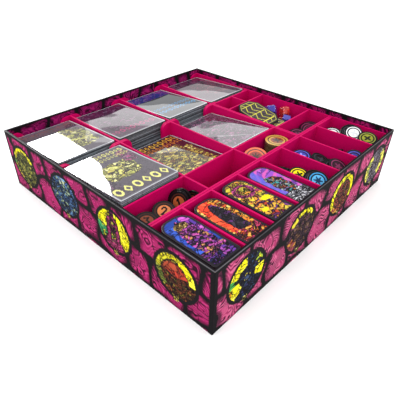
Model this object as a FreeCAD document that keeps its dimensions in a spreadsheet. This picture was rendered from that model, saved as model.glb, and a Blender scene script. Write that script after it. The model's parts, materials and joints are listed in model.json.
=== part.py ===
# Open base of a square rigid games box, with its lift-out foam trays, sleeved card decks,
# arched tiles, round tokens and other small pieces. Millimetres, +Z up, origin at the
# centre of the footprint on the table. Front is -Y, left is -X.
import FreeCAD, Part
import math
import os
import re
import Sketcher

doc = FreeCAD.newDocument("games_box")

# ---------------------------------------------------------------- driving sizes
SIZES = [
    ("box_length", 300.0, "outside of the box, left to right"),
    ("box_width", 300.0, "outside of the box, front to back"),
    ("box_height", 67.0, "table to rim"),
    ("board", 2.2, "chipboard thickness"),
    ("wrap", 0.3, "printed paper glued round the boards"),
    ("turn_in", 22.0, "how far the wrap turns down inside the rim"),
    ("underlay", 0.3, "paper under the bottom board"),
    ("liner", 0.3, "paper on the floor inside the box"),
    ("stay_leg", 18.0, "leg of the paper stay round each corner"),
    ("stay", 0.2, "thickness of the corner stays"),
    ("tray_gap", 0.5, "room between a tray and whatever stands beside it"),
    ("tray_height", 58.2, "outside height of every tray"),
    ("foam", 2.0, "thickness of the foam sheet"),
    ("slip", 0.1, "room all round a tab in its slot"),
    ("tab_height", 18.0, "height of the tabs at the ends of the panels"),
    ("side_width", 73.7, "outside width of the side tray"),
    ("side_rear_depth", 23.3, "clear depth of the side tray's two rear bays"),
    ("notch_width", 45.0, "finger notch in the walls of the card bays"),
    ("notch_depth", 40.0, "finger notch, down from the top of the tray"),
    ("notch_round", 8.0, "rounding of the notch's corners"),
    ("card_width", 65.5, "sleeved card, short side"),
    ("card_length", 89.0, "sleeved card, long side"),
    ("card_room", 2.9, "how much longer a card bay is than its cards"),
    ("card_gap", 0.6, "room behind a deck, the rest of it being before the deck"),
    ("tile_width", 29.2, "arched tile, short side"),
    ("tile_length", 61.5, "arched tile, long side"),
    ("tile_round", 11.0, "rounding of an arched tile's far corners"),
    ("tile_corner", 2.5, "rounding of its near corners"),
    ("tile_thickness", 2.0, "arched tile and clipped tile"),
    ("tile_room", 4.2, "how much longer a tile bay is than its tiles"),
    ("tile_side_room", 5.2, "how much wider a tile bay is than its tiles"),
    ("tile_gap", 0.8, "room in front of the arched tiles, the rest of it being behind them"),
    ("clipped_width", 37.0, "clipped tile, short side"),
    ("clipped_length", 49.0, "clipped tile, long side"),
    ("clipped_corner", 9.0, "how much of each corner is clipped off"),
    ("token", 21.0, "diameter of the round tokens"),
    ("token_thickness", 2.0, "round tokens"),
    ("token_room", 5.5, "how much deeper the side tray's front bay is than a token"),
    ("counter", 26.0, "diameter of the thick round counters"),
    ("counter_thickness", 3.0, "one thick round counter"),
    ("gem", 10.0, "edge of an acrylic cube"),
    ("gem_round", 1.4, "rounding of an acrylic cube"),
    ("play", 0.35, "least room round a loose piece"),
]
sheet = doc.addObject("Spreadsheet::Sheet", "Sizes")
for row, (alias, value, meaning) in enumerate(SIZES, start=1):
    sheet.set(f"A{row}", meaning)
    sheet.set(f"B{row}", str(value))
    sheet.setAlias(f"B{row}", alias)
doc.recompute()

ALIASES = re.compile(r"\b(" + "|".join(alias for alias, _, _ in SIZES) + r")\b")


def cells(text):
    """An expression with every alias pointed at the sheet."""
    return ALIASES.sub(r"Sizes.\1", text)


def number(text):
    """What an expression of aliases comes to, in mm."""
    return float(sheet.evalExpression(cells(text)))


# ---------------------------------------------------------------- derived places
SIDE = "(board + 2 * wrap)"
FLOOR = "(underlay + board + liner)"
LEFT = f"(-box_length / 2 + {SIDE} + tray_gap)"
FRONT = f"(-box_width / 2 + {SIDE} + tray_gap)"
ROOM_X = f"(box_length - 2 * {SIDE} - 2 * tray_gap)"
ROOM_Y = f"(box_width - 2 * {SIDE} - 2 * tray_gap)"
FRONT_DEPTH = "(tile_length + tile_room + 2 * foam)"
CARD_BAY = "(card_length + card_room)"
REAR_DEPTH = f"({CARD_BAY} + 2 * foam)"
MIDDLE_WIDTH = f"({ROOM_X} - side_width - tray_gap)"
MIDDLE_DEPTH = f"({ROOM_Y} - {FRONT_DEPTH} - {REAR_DEPTH} - 2 * tray_gap)"
MIDDLE_Y = f"({FRONT} + {FRONT_DEPTH} + tray_gap)"
STRIP_DEPTH = f"({MIDDLE_DEPTH} - {CARD_BAY} - 3 * foam)"
SIDE_BAY = "(token + token_room)"
SIDE_X = f"({LEFT} + {MIDDLE_WIDTH} + tray_gap)"
REAR_Y = f"({MIDDLE_Y} + {MIDDLE_DEPTH} + tray_gap)"
PANEL_LOW = f"({FLOOR} + foam)"
PANEL_HEIGHT = "(tray_height - foam)"
TAB_LOW = f"({PANEL_LOW} + ({PANEL_HEIGHT} - tab_height) / 2)"
TRAY_TOP = f"({FLOOR} + tray_height)"

parts = {}


def part(name, solid):
    """Name a finished sub-part: its label is its file's name."""
    solid.Label = name
    parts[name] = solid
    return solid


def block(name, corner, extent):
    """A box from its low corner, both given as expressions of the sheet."""
    solid = doc.addObject("Part::Box", name)
    for side, text in zip(("Length", "Width", "Height"), extent):
        solid.setExpression(side, cells(text))
    for axis, text in zip("xyz", corner):
        solid.setExpression(f"Placement.Base.{axis}", cells(text))
    return solid


def fused(name, solids):
    solid = doc.addObject("Part::MultiFuse", name)
    solid.Shapes = solids
    solid.Refine = True
    return solid


def cut(name, base, tools):
    """The base less all its tools."""
    solid = doc.addObject("Part::Cut", name)
    solid.Base = base
    solid.Tool = tools[0] if len(tools) == 1 else fused(name + "_tools", tools)
    solid.Refine = True
    return solid


def group(name, solids):
    """Several separate solids in one sub-part."""
    together = doc.addObject("Part::Compound", name)
    together.Links = solids
    return together


def rounded(name, base, radius, chosen):
    """Round the base's straight edges that chosen(edge) picks."""
    doc.recompute()
    solid = doc.addObject("Part::Fillet", name)
    solid.Base = base
    size = number(radius)
    edges = enumerate(base.Shape.Edges, start=1)
    solid.Edges = [(index, size, size) for index, edge in edges if chosen(edge)]
    return solid


def runs_along(edge, axis):
    """True for a straight edge parallel to axis 0, 1 or 2."""
    low, high = edge.BoundBox.XMin, edge.BoundBox.XMax
    spans = [high - low, edge.BoundBox.YLength, edge.BoundBox.ZLength]
    others = [spans[index] for index in range(3) if index != axis]
    return max(others) < 1e-6 < spans[axis]


# ---------------------------------------------------------------- the box
def corner_stays():
    """Paper stays that hold the four corners, pressed flush into the boards."""
    low_z = "(underlay + board)"
    high = f"(box_height - wrap - {low_z})"
    stays = []
    for side_x in (-1, 1):
        for side_y in (-1, 1):
            name = f"stay_{'l' if side_x < 0 else 'r'}{'f' if side_y < 0 else 'b'}"
            at = []
            within = []
            for side, whole in ((side_x, "box_length"), (side_y, "box_width")):
                edge = f"({whole} / 2 - wrap)"
                at.append(f"-{edge}" if side < 0 else f"{edge} - stay_leg")
                within.append(f"-{edge} + stay" if side < 0 else f"{edge} - stay_leg - stay")
            outer = block(name + "_outer", (at[0], at[1], low_z), ("stay_leg", "stay_leg", high))
            inner = block(name + "_inner", (within[0], within[1], low_z), ("stay_leg", "stay_leg", high))
            stays.append(cut(name, outer, [inner]))
    return part("corner_stays", group("corner_stays", stays))


def box_walls(stays):
    """Chipboard: one bottom board, and four walls butted together on top of it."""
    inner_x = "(box_length - 2 * wrap)"
    inner_y = "(box_width - 2 * wrap)"
    x, y = f"(-{inner_x} / 2)", f"(-{inner_y} / 2)"
    part("bottom_board", block("bottom_board", (x, y, "underlay"), (inner_x, inner_y, "board")))
    low_z = "(underlay + board)"
    high = f"(box_height - wrap - {low_z})"
    between = f"({inner_y} - 2 * board)"
    walls = {
        "wall_front": ((x, y, low_z), (inner_x, "board", high)),
        "wall_back": ((x, f"-{y} - board", low_z), (inner_x, "board", high)),
        "wall_left": ((x, f"{y} + board", low_z), ("board", between, high)),
        "wall_right": ((f"-{x} - board", f"{y} + board", low_z), ("board", between, high)),
    }
    for name, (corner, extent) in walls.items():
        part(name, cut(name, block(name + "_board", corner, extent), [stays]))


def box_papers():
    """The paper under the box and the paper on its floor."""
    x, y = "(-box_length / 2)", "(-box_width / 2)"
    part("base_paper", block("base_paper", (x, y, "0"), ("box_length", "box_width", "underlay")))
    inset = "(wrap + board)"
    corner = (f"{x} + {inset}", f"{y} + {inset}", "underlay + board")
    extent = (f"box_length - 2 * {inset}", f"box_width - 2 * {inset}", "liner")
    part("floor_liner", block("floor_liner", corner, extent))


def rectangle(sketch, name, width, depth):
    """A centred rectangle in a sketch, driven by two expressions."""
    half_x, half_y = number(width) / 2, number(depth) / 2
    spots = [(-half_x, -half_y), (half_x, -half_y), (half_x, half_y), (-half_x, half_y)]
    corners = [FreeCAD.Vector(x, y, 0) for x, y in spots]
    first = sketch.GeometryCount
    for index in range(4):
        sketch.addGeometry(Part.LineSegment(corners[index], corners[(index + 1) % 4]), False)
    add = Sketcher.Constraint
    for index in range(4):
        sketch.addConstraint(add("Coincident", first + index, 2, first + (index + 1) % 4, 1))
        sketch.addConstraint(add("Vertical" if index % 2 else "Horizontal", first + index))
    sketch.addConstraint(add("Symmetric", first, 1, first + 2, 1, -1, 1))
    for side, line, text in (("width", first, width), ("depth", first + 1, depth)):
        length = number(text)
        index = sketch.addConstraint(add("Distance", line, length))
        sketch.renameConstraint(index, f"{name}_{side}")
        sketch.setExpression(f"Constraints.{name}_{side}", cells(text))


def ring_sketch(body, name, lift, outer, inner):
    """Two nested rectangles on the body's XY plane, raised by lift."""
    sketch = body.newObject("Sketcher::SketchObject", name)
    plane = [item for item in body.Origin.OriginFeatures if item.Role == "XY_Plane"][0]
    sketch.AttachmentSupport = [(plane, "")]
    sketch.MapMode = "FlatFace"
    sketch.setExpression("AttachmentOffset.Base.z", cells(lift))
    rectangle(sketch, "outer", *outer)
    rectangle(sketch, "inner", *inner)
    return sketch


def printed_wrap():
    """Paper skin: up the outside of the boards, over the rim, and down inside."""
    outside = ("box_length", "box_width")
    boards = ("box_length - 2 * wrap", "box_width - 2 * wrap")
    skin = ("box_length - 2 * wrap - 2 * board", "box_width - 2 * wrap - 2 * board")
    inside = (f"box_length - 2 * {SIDE}", f"box_width - 2 * {SIDE}")
    body = doc.addObject("PartDesign::Body", "printed_wrap")
    pad = body.newObject("PartDesign::Pad", "wrap_band")
    pad.Profile = ring_sketch(body, "wrap_outline", "underlay", outside, inside)
    pad.setExpression("Length", cells("box_height - underlay"))
    doc.recompute()
    whole = body.Shape.Volume
    hollows = (
        ("board_groove", boards, skin, "box_height - wrap - underlay"),
        ("open_below", skin, inside, "box_height - turn_in - underlay"),
    )
    for name, outer, inner, depth in hollows:
        pocket = body.newObject("PartDesign::Pocket", name)
        pocket.Profile = ring_sketch(body, name + "_outline", "underlay", outer, inner)
        pocket.Reversed = True
        pocket.setExpression("Length", cells(depth))
        doc.recompute()
        if body.Shape.Volume > whole - 1.0:
            raise RuntimeError(f"{name} cut nothing")
        whole = body.Shape.Volume
    return part("printed_wrap", body)


# ---------------------------------------------------------------- foam trays
# How far a cutter stands out of the foam that it cuts.
OVERCUT = 1
NOTCH_OVERCUT = 5
TINY = 0.01


def panel(name, run, x, y, length, tabbed):
    """An upright foam panel along X or Y, with or without a tab at each end."""
    along_x = run == "X"
    size = (length, "foam") if along_x else ("foam", length)
    stem = block(name + "_stem", (x, y, PANEL_LOW), (*size, PANEL_HEIGHT))
    if not tabbed:
        return stem
    longer = f"({length} + 2 * foam)"
    size = (longer, "foam") if along_x else ("foam", longer)
    corner = (f"{x} - foam", y, TAB_LOW) if along_x else (x, f"{y} - foam", TAB_LOW)
    return fused(name, [stem, block(name + "_tabs", corner, (*size, "tab_height"))])


def slot(name, run, x, y):
    """The hole in a wall at x, y that takes the tab of a panel running along run."""
    wide, deep = "(foam + 2 * slip)", f"(foam + 2 * {OVERCUT})"
    size = (deep, wide) if run == "X" else (wide, deep)
    shift = (f"{x} - {OVERCUT}", f"{y} - slip") if run == "X" else (f"{x} - slip", f"{y} - {OVERCUT}")
    return block(name, (*shift, f"{TAB_LOW} - slip"), (*size, "tab_height + 2 * slip"))


def bay(total, count):
    """Clear width of each of count equal bays between foam panels."""
    return f"(({total} - {count + 1} * foam) / {count})"


def divider_starts(x, total, count):
    """Where each panel between count equal bays begins."""
    clear = bay(total, count)
    return [f"({x} + {index} * ({clear} + foam))" for index in range(1, count)]


def bay_starts(x, total, count):
    clear = bay(total, count)
    return [f"({x} + foam + {index} * ({clear} + foam))" for index in range(count)]


def notched(name, wall, y, centres):
    """Cut a finger notch at each centre and round all four of its corners."""
    cutters = []
    for index, centre in enumerate(centres):
        low = f"({TRAY_TOP} - notch_depth)"
        corner = (f"{centre} - notch_width / 2", f"{y} - {OVERCUT}", low)
        extent = ("notch_width", f"foam + 2 * {OVERCUT}", f"notch_depth + {NOTCH_OVERCUT}")
        plain = block(f"{name}_gap_{index}", corner, extent)
        bottom = number(low)
        cutters.append(rounded(f"{name}_notch_{index}", plain, "notch_round",
                               lambda edge: runs_along(edge, 1) and edge.BoundBox.ZMax < bottom + TINY))
    open_wall = cut(name + "_open", wall, cutters)
    doc.recompute()
    top, box = number(TRAY_TOP), open_wall.Shape.BoundBox
    return rounded(name, open_wall, "notch_round",
                   lambda edge: runs_along(edge, 1) and edge.BoundBox.ZMin > top - TINY
                   and box.XMin + TINY < edge.BoundBox.XMin < box.XMax - TINY)


def tray(name, x, y, width, depth, front_slots, back_slots, side_slots=(), notches=None):
    """Floor and four walls. The side walls' tabs and the dividers' tabs go through slots."""
    part(f"{name}_floor", block(f"{name}_floor", (x, y, FLOOR), (width, depth, "foam")))
    right_x = f"({x} + {width} - foam)"
    inner_y, inner_depth = f"({y} + foam)", f"({depth} - 2 * foam)"
    for side, wall_x in (("left", x), ("right", right_x)):
        label = f"{name}_{side}"
        upright = panel(label + "_panel", "Y", wall_x, inner_y, inner_depth, True)
        holes = [slot(f"{label}_slot_{index}", "X", wall_x, at) for index, at in enumerate(side_slots)]
        part(label, cut(label, upright, holes) if holes else upright)
    walls = (("front", y, front_slots), ("back", f"({y} + {depth} - foam)", back_slots))
    for side, wall_y, through in walls:
        label = f"{name}_{side}"
        wall = panel(label, "X", x, wall_y, width, False)
        holes = [slot(f"{label}_slot_{index}", "Y", at, wall_y)
                 for index, at in enumerate([x, *through, right_x])]
        wall = cut(label + "_slotted", wall, holes)
        if notches and side in notches:
            wall = notched(label, wall, wall_y, notches[side])
        part(label, wall)


def bay_centres(x, total, count):
    return [f"({start} + {bay(total, count)} / 2)" for start in bay_starts(x, total, count)]


TILE_BAY = "(tile_width + tile_side_room)"
TOKEN_BAY = f"(({ROOM_X} - 9 * foam - 4 * {TILE_BAY}) / 4)"
TILE_STARTS = [f"({LEFT} + foam + {index} * ({TILE_BAY} + foam))" for index in range(4)]
TOKEN_STARTS = [f"({TILE_STARTS[3]} + {TILE_BAY} + foam + {index} * ({TOKEN_BAY} + foam))"
                for index in range(4)]


def front_tray():
    """Eight narrow bays: four for arched tiles, four for round tokens."""
    starts = [f"({start} - foam)" for start in (TILE_STARTS + TOKEN_STARTS)[1:]]
    tray("front_tray", LEFT, FRONT, ROOM_X, FRONT_DEPTH, starts, starts)
    length = f"({FRONT_DEPTH} - 2 * foam)"
    dividers = [panel(f"front_divider_{index}", "Y", x, f"({FRONT} + foam)", length, True)
                for index, x in enumerate(starts)]
    part("front_tray_dividers", group("front_tray_dividers", dividers))


def rear_tray():
    """Four card bays with finger notches in the walls before and behind them."""
    starts = divider_starts(LEFT, ROOM_X, 4)
    centres = bay_centres(LEFT, ROOM_X, 4)
    tray("rear_tray", LEFT, REAR_Y, ROOM_X, REAR_DEPTH, starts, starts,
         notches={"front": centres, "back": centres})
    dividers = [panel(f"rear_divider_{index}", "Y", x, f"({REAR_Y} + foam)", CARD_BAY, True)
                for index, x in enumerate(starts)]
    part("rear_tray_dividers", group("rear_tray_dividers", dividers))


def middle_tray():
    """Three small bays in front of three card bays; the dividers lap the cross wall."""
    starts = divider_starts(LEFT, MIDDLE_WIDTH, 3)
    cross_y = f"({MIDDLE_Y} + foam + {STRIP_DEPTH})"
    tray("middle_tray", LEFT, MIDDLE_Y, MIDDLE_WIDTH, MIDDLE_DEPTH, starts, starts,
         side_slots=[cross_y], notches={"back": bay_centres(LEFT, MIDDLE_WIDTH, 3)})
    half = f"({PANEL_HEIGHT} / 2)"
    gap = "(foam + 2 * slip)"
    cross = panel("middle_cross", "X", f"({LEFT} + foam)", cross_y, f"({MIDDLE_WIDTH} - 2 * foam)", True)
    laps = [block(f"cross_lap_{index}", (f"{x} - slip", f"{cross_y} - 1", f"{PANEL_LOW} + {half}"),
                  (gap, "foam + 2", half)) for index, x in enumerate(starts)]
    part("middle_tray_cross_wall", cut("middle_tray_cross_wall", cross, laps))
    dividers = []
    for index, x in enumerate(starts):
        upright = panel(f"middle_divider_{index}", "Y", x, f"({MIDDLE_Y} + foam)",
                        f"({MIDDLE_DEPTH} - 2 * foam)", True)
        lap = block(f"divider_lap_{index}", (f"{x} - 1", f"{cross_y} - slip", PANEL_LOW),
                    ("foam + 2", gap, half))
        dividers.append(cut(f"middle_divider_{index}_lapped", upright, [lap]))
    part("middle_tray_dividers", group("middle_tray_dividers", dividers))


SIDE_CROSS = f"({MIDDLE_Y} + foam + {SIDE_BAY})"
SIDE_REAR = f"({MIDDLE_Y} + {MIDDLE_DEPTH} - 2 * foam - side_rear_depth)"
SIDE_SPLIT = f"({SIDE_X} + (side_width - foam) / 2)"


def side_tray():
    """A front bay, a large bay and two small rear bays."""
    tray("side_tray", SIDE_X, MIDDLE_Y, "side_width", MIDDLE_DEPTH, [], [SIDE_SPLIT],
         side_slots=[SIDE_CROSS, SIDE_REAR])
    x, length = f"({SIDE_X} + foam)", "(side_width - 2 * foam)"
    near = panel("side_cross_near", "X", x, SIDE_CROSS, length, True)
    far = panel("side_cross_far", "X", x, SIDE_REAR, length, True)
    far = cut("side_cross_far_slotted", far, [slot("side_split_slot", "Y", SIDE_SPLIT, SIDE_REAR)])
    part("side_tray_cross_walls", group("side_tray_cross_walls", [near, far]))
    split = panel("side_split", "Y", SIDE_SPLIT, f"({SIDE_REAR} + foam)", "side_rear_depth", True)
    part("side_tray_split_wall", split)


# ---------------------------------------------------------------- card decks
BUNDLES = 6
DECK_SWAY = 0.5


def deck(name, bay_x, bay_width, bay_back, near, far):
    """A sleeved deck, a little thicker at its near end, as wedge-shaped bundles of cards."""
    low_x = number(f"{bay_x} + ({bay_width} - card_width) / 2")
    low_y = number(f"{bay_back} - card_gap - card_length")
    low_z = number(PANEL_LOW)
    bundles = []
    for index in range(BUNDLES):
        wedge = doc.addObject("Part::Wedge", f"{name}_{index}")
        for prop, text in (("Xmin", "0"), ("X2min", "0"), ("Ymin", "0"),
                           ("Xmax", "card_width"), ("X2max", "card_width"), ("Ymax", "card_length")):
            wedge.setExpression(prop, cells(text))
        wedge.Zmin, wedge.Zmax = near * index / BUNDLES, near * (index + 1) / BUNDLES
        wedge.Z2min, wedge.Z2max = far * index / BUNDLES, far * (index + 1) / BUNDLES
        sway = DECK_SWAY * math.sin(2.1 * index + near)
        wedge.Placement.Base = FreeCAD.Vector(low_x + sway, low_y, low_z)
        bundles.append(wedge)
    part(name, group(name, bundles))


def decks():
    """Heights of each deck at its near and far ends, above the tray's floor."""
    rear_back = f"({REAR_Y} + {REAR_DEPTH} - foam)"
    rear_width = bay(ROOM_X, 4)
    rear = ((57.7, 51.9), (57.2, 52.0), (57.5, 51.2), (56.8, 51.6))
    for index, (x, (near, far)) in enumerate(zip(bay_starts(LEFT, ROOM_X, 4), rear), start=1):
        deck(f"rear_deck_{index}", x, rear_width, rear_back, near, far)
    back = f"({MIDDLE_Y} + {MIDDLE_DEPTH} - foam)"
    width = bay(MIDDLE_WIDTH, 3)
    middle = (("treasure_deck", 61.2, 55.4), ("event_deck", 48.2, 41.4), ("spell_deck", 55.0, 46.6))
    for x, (name, near, far) in zip(bay_starts(LEFT, MIDDLE_WIDTH, 3), middle):
        deck(name, x, width, back, near, far)


# ---------------------------------------------------------------- tiles
TILE_SWAY = 0.5


def repeated(name, shapes):
    """A sub-part of many loose copies, each placed by formula."""
    feature = doc.addObject("Part::Feature", name)
    feature.Shape = Part.makeCompound(shapes)
    return part(name, feature)


def arched_tiles():
    """Four stacks of card tiles with two well rounded far corners."""
    blank = block("tile_blank", ("0", "0", "0"), ("tile_width", "tile_length", "tile_thickness"))
    far = number("tile_length")
    arch = rounded("tile_arch", blank, "tile_round",
                   lambda edge: runs_along(edge, 2) and edge.BoundBox.YMin > far - TINY)
    tile = rounded("tile", arch, "tile_corner",
                   lambda edge: runs_along(edge, 2) and edge.BoundBox.YMax < TINY)
    doc.recompute()
    thick = number("tile_thickness")
    room = number(f"{TRAY_TOP} - {PANEL_LOW}")
    for index, (x, under_rim) in enumerate(zip(TILE_STARTS, (1, 2, 1, 2)), start=1):
        low = [number(f"{x} + tile_side_room / 2"),
               number(f"{FRONT} + foam + tile_gap"), number(PANEL_LOW)]
        count = int(room / thick) - under_rim + 1
        copies = []
        for level in range(count):
            sway = TILE_SWAY * math.sin(1.7 * level + index)
            place = FreeCAD.Vector(low[0] + sway, low[1], low[2] + level * thick)
            copies.append(tile.Shape.translated(place))
        repeated(f"arched_tiles_{index}", copies)


# ---------------------------------------------------------------- round pieces
SETTLED_GAP = 0.15
DROP_STEP = 0.4


class Slant:
    """A slipped stack of parallel discs, which never meet because each has its own plane.

    lean is the angle of the discs' axis from upright and heading the way it leans, both in
    degrees. climb is 1 for a stack along its own axis and 0 for a row laid level. stray
    moves every disc a little within its own plane.
    """

    def __init__(self, lean, heading, count, climb=1.0, stray=0.0):
        self.lean, self.heading = math.radians(lean), math.radians(heading)
        self.count, self.climb, self.stray = count, climb, stray

    def discs(self, radius, thick):
        level, up = math.sin(self.lean), math.cos(self.lean)
        east, north = math.cos(self.heading), math.sin(self.heading)
        axis = FreeCAD.Vector(level * east, level * north, up)
        downhill = FreeCAD.Vector(up * east, up * north, -level)
        across = axis.cross(downhill)
        step = thick + SETTLED_GAP
        slide = (1.0 - self.climb) * step * up / level if level > TINY else 0.0
        shapes = []
        for index in range(self.count):
            swing = self.stray * math.sin(2.4 * index + self.count)
            centre = axis * (index * step) + downhill * (index * slide) + across * swing
            shapes.append(Part.makeCylinder(radius, thick, centre, axis))
        return shapes


def touches(shape, other):
    """True when two solids are closer than the gap that loose pieces keep."""
    one, two = shape.BoundBox, other.BoundBox
    one.enlarge(SETTLED_GAP)
    return one.intersect(two) and shape.distToShape(other)[0] < SETTLED_GAP


def settle(name, low, room, families):
    """Put families of solids into a bay, each lowered until it meets what is already there.

    A family is its solids and its place, from 0 to 1 along the bay's X and Y. Where the bay
    leaves it less than the usual play it stands in the middle. One that is wider than the
    bay, or would stand above the box's rim, is left out.
    """
    margin, rim = number("play"), number("box_height")
    placed = []
    for shapes, place in families:
        bounds = Part.makeCompound(shapes).BoundBox
        spare = (room[0] - 2 * margin - bounds.XLength, room[1] - 2 * margin - bounds.YLength)
        if min(spare) < -2 * margin:
            continue
        share = [part_way if left >= -margin else 0.5 for part_way, left in zip(place, spare)]
        top = max([low[2]] + [other.BoundBox.ZMax for other in placed]) + SETTLED_GAP
        shift = FreeCAD.Vector(low[0] + margin + share[0] * spare[0] - bounds.XMin,
                               low[1] + margin + share[1] * spare[1] - bounds.YMin,
                               top - bounds.ZMin)
        fresh = [shape.translated(shift) for shape in shapes]
        dropped = 0.0
        while True:
            lower = min(dropped + DROP_STEP, top - low[2])
            moved = [shape.translated(FreeCAD.Vector(0, 0, -lower)) for shape in fresh]
            if lower == dropped or any(touches(one, other) for one in moved for other in placed):
                break
            dropped = lower
        settled = [shape.translated(FreeCAD.Vector(0, 0, -dropped)) for shape in fresh]
        placed += [shape for shape in settled if shape.BoundBox.ZMax < rim]
    return repeated(name, placed)


def round_pile(name, low, room, radius, thick, fullness, slants):
    """Level stacks side by side along the bay, as many as it takes, then slanted ones on top.

    fullness gives how high each stack fills the bay, as a share of the tray's clear height.
    """
    height = number(f"{TRAY_TOP} - {PANEL_LOW}")
    long_way = 0 if room[0] > room[1] else 1
    fit = int((room[long_way] - 2 * number("play") + SETTLED_GAP) / (2 * radius + SETTLED_GAP))
    families = []
    for index in range(fit):
        count = int(fullness[index % len(fullness)] * height / (thick + SETTLED_GAP))
        place = [0.7 if index % 2 else 0.25] * 2
        place[long_way] = index / (fit - 1) if fit > 1 else 0.5
        families.append((Slant(0.0, 0.0, count).discs(radius, thick), place))
    for across, along, slant in slants:
        families.append((slant.discs(radius, thick), (across, along)))
    settle(name, low, room, families)


def token_piles():
    """Round tokens in the last four bays of the front tray, and in two other trays."""
    radius, thick = number("token / 2"), number("token_thickness")
    room = (number(TOKEN_BAY), number(f"{FRONT_DEPTH} - 2 * foam"))
    piles = (
        ((0.60, 0.68, 0.55),
         ((0.3, 0.97, Slant(58, 50, 3, 0.2, 2.0)), (0.35, 0.47, Slant(17, 235, 2)),
          (0.45, 0.02, Slant(33, 225, 3, 0.5, 2.0)))),
        ((0.58, 0.66, 0.68),
         ((0.25, 0.9, Slant(12, 205, 4)), (0.7, 0.45, Slant(22, -70, 2)),
          (0.5, 0.02, Slant(27, -95, 3, 0.5, 3.0)))),
        ((0.58, 0.62, 0.50),
         ((0.3, 1.0, Slant(60, 60, 3, 0.1, 1.0)), (0.5, 0.5, Slant(28, 70, 2)),
          (0.8, 0.0, Slant(36, 200, 2)))),
        ((0.68, 0.64, 0.72),
         ((0.15, 0.95, Slant(15, 190, 3)), (0.9, 0.5, Slant(30, 215, 3, 0.4, 2.0)),
          (0.3, 0.03, Slant(20, 200, 3)))),
    )
    for index, (start, (fullness, slants)) in enumerate(zip(TOKEN_STARTS, piles), start=1):
        low = (number(start), number(f"{FRONT} + foam"), number(PANEL_LOW))
        round_pile(f"round_tokens_{index}", low, room, radius, thick, fullness, slants)
    low = (number(f"{LEFT} + foam"), number(f"{MIDDLE_Y} + foam"), number(PANEL_LOW))
    room = (number(bay(MIDDLE_WIDTH, 3)), number(STRIP_DEPTH))
    round_pile("numbered_tokens", low, room, radius, thick, (0.74, 0.62, 0.50),
               ((0.0, 0.3, Slant(12, 240, 2)), (0.45, 0.7, Slant(24, 235, 3)),
                (0.82, 0.9, Slant(64, 190, 3, 0.0, 1.5)), (1.0, 0.2, Slant(72, 185, 1))))
    low = (number(f"{SIDE_X} + foam"), number(f"{MIDDLE_Y} + foam"), number(PANEL_LOW))
    room = (number("side_width - 2 * foam"), number(SIDE_BAY))
    round_pile("dark_tokens", low, room, radius, thick, (0.66, 0.60, 0.62),
               ((0.3, 0.6, Slant(14, 230, 2)), (0.95, 0.7, Slant(22, 200, 3, 0.3, 2.0))))


def round_counters():
    """Thick counters: one upright stack, and a lower one with two that lean on it."""
    radius, thick = number("counter / 2"), number("counter_thickness")
    low = (number(bay_starts(LEFT, MIDDLE_WIDTH, 3)[2]), number(f"{MIDDLE_Y} + foam"), number(PANEL_LOW))
    room = (number(bay(MIDDLE_WIDTH, 3)), number(STRIP_DEPTH))
    round_pile("round_counters", low, room, radius, thick, (0.62, 0.90),
               ((0.1, 0.5, Slant(24, 215, 2)),))


SIDE_BAY_Y = f"({SIDE_CROSS} + foam)"
SIDE_BAY_DEPTH = f"({SIDE_REAR} - {SIDE_CROSS} - foam)"
# How much of the bay's height the clipped tiles fill, and how far each is out of line.
CLIPPED_FILL = 0.84
CLIPPED_SWAY = 0.3
# How steeply the last clipped tile leans, in degrees.
TIP = 13


def clipped_tile():
    """One flat tile with its four corners clipped off."""
    blank = block("clipped_blank", ("0", "0", "0"), ("clipped_width", "clipped_length", "tile_thickness"))
    doc.recompute()
    clipped = doc.addObject("Part::Chamfer", "clipped_tile")
    clipped.Base = blank
    size = number("clipped_corner")
    edges = enumerate(blank.Shape.Edges, start=1)
    clipped.Edges = [(index, size, size) for index, edge in edges if runs_along(edge, 2)]
    doc.recompute()
    return clipped.Shape


def clipped_tiles():
    """A stack of clipped tiles, each a little out of line, and one tipped up at its far end."""
    tile = clipped_tile()
    thick = number("tile_thickness")
    room = (number("side_width - 2 * foam"), number(SIDE_BAY_DEPTH))
    low = (number(f"{SIDE_X} + foam"), number(SIDE_BAY_Y), number(PANEL_LOW))
    count = int(CLIPPED_FILL * number(f"{TRAY_TOP} - {PANEL_LOW}") / thick)
    stack = []
    for level in range(count):
        east, north = CLIPPED_SWAY * math.sin(1.9 * level), CLIPPED_SWAY * math.cos(2.3 * level)
        stack.append(tile.translated(FreeCAD.Vector(east, north, level * thick)))
    tipped = tile.copy()
    tipped.Placement = FreeCAD.Placement(FreeCAD.Vector(), FreeCAD.Rotation(0, 0, TIP))
    settle("clipped_tiles", low, room, [(stack, (0.1, 0.2)), ([tipped], (0.1, 0.85))])


# How much of the bay's depth the cubes fill, from its near wall.
CUBE_REACH = 0.78
CUBE_LAYERS = 4


def acrylic_cubes():
    """Rounded acrylic cubes in layers beside the clipped tiles, the top layer tipped."""
    edge = number("gem")
    cube = Part.makeBox(edge, edge, edge)
    cube = cube.makeFillet(number("gem_round"), cube.Edges)
    beside = "(0.1 * (side_width - 2 * foam - clipped_width) + clipped_width + 3 * play)"
    start = f"({SIDE_X} + foam + {beside})"
    low = (number(start), number(SIDE_BAY_Y), number(PANEL_LOW))
    room = (number(f"{SIDE_X} + side_width - foam - {start}"), number(SIDE_BAY_DEPTH))
    tips = ((14, 20, 35), (30, -12, 10), (-25, 8, 60), (10, 35, -20), (18, -22, 48))
    families = []
    for layer in range(CUBE_LAYERS):
        for index, tip in enumerate(tips):
            solid = cube.copy()
            turn = tip if layer == CUBE_LAYERS - 1 else (15 * index, 0, 0)
            solid.Placement = FreeCAD.Placement(FreeCAD.Vector(), FreeCAD.Rotation(*turn))
            along = CUBE_REACH * index / (len(tips) - 1)
            place = (0.5 + 0.5 * math.sin(2.6 * index + layer), along)
            families.append(([solid], place))
    settle("acrylic_cubes", low, room, families)


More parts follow.
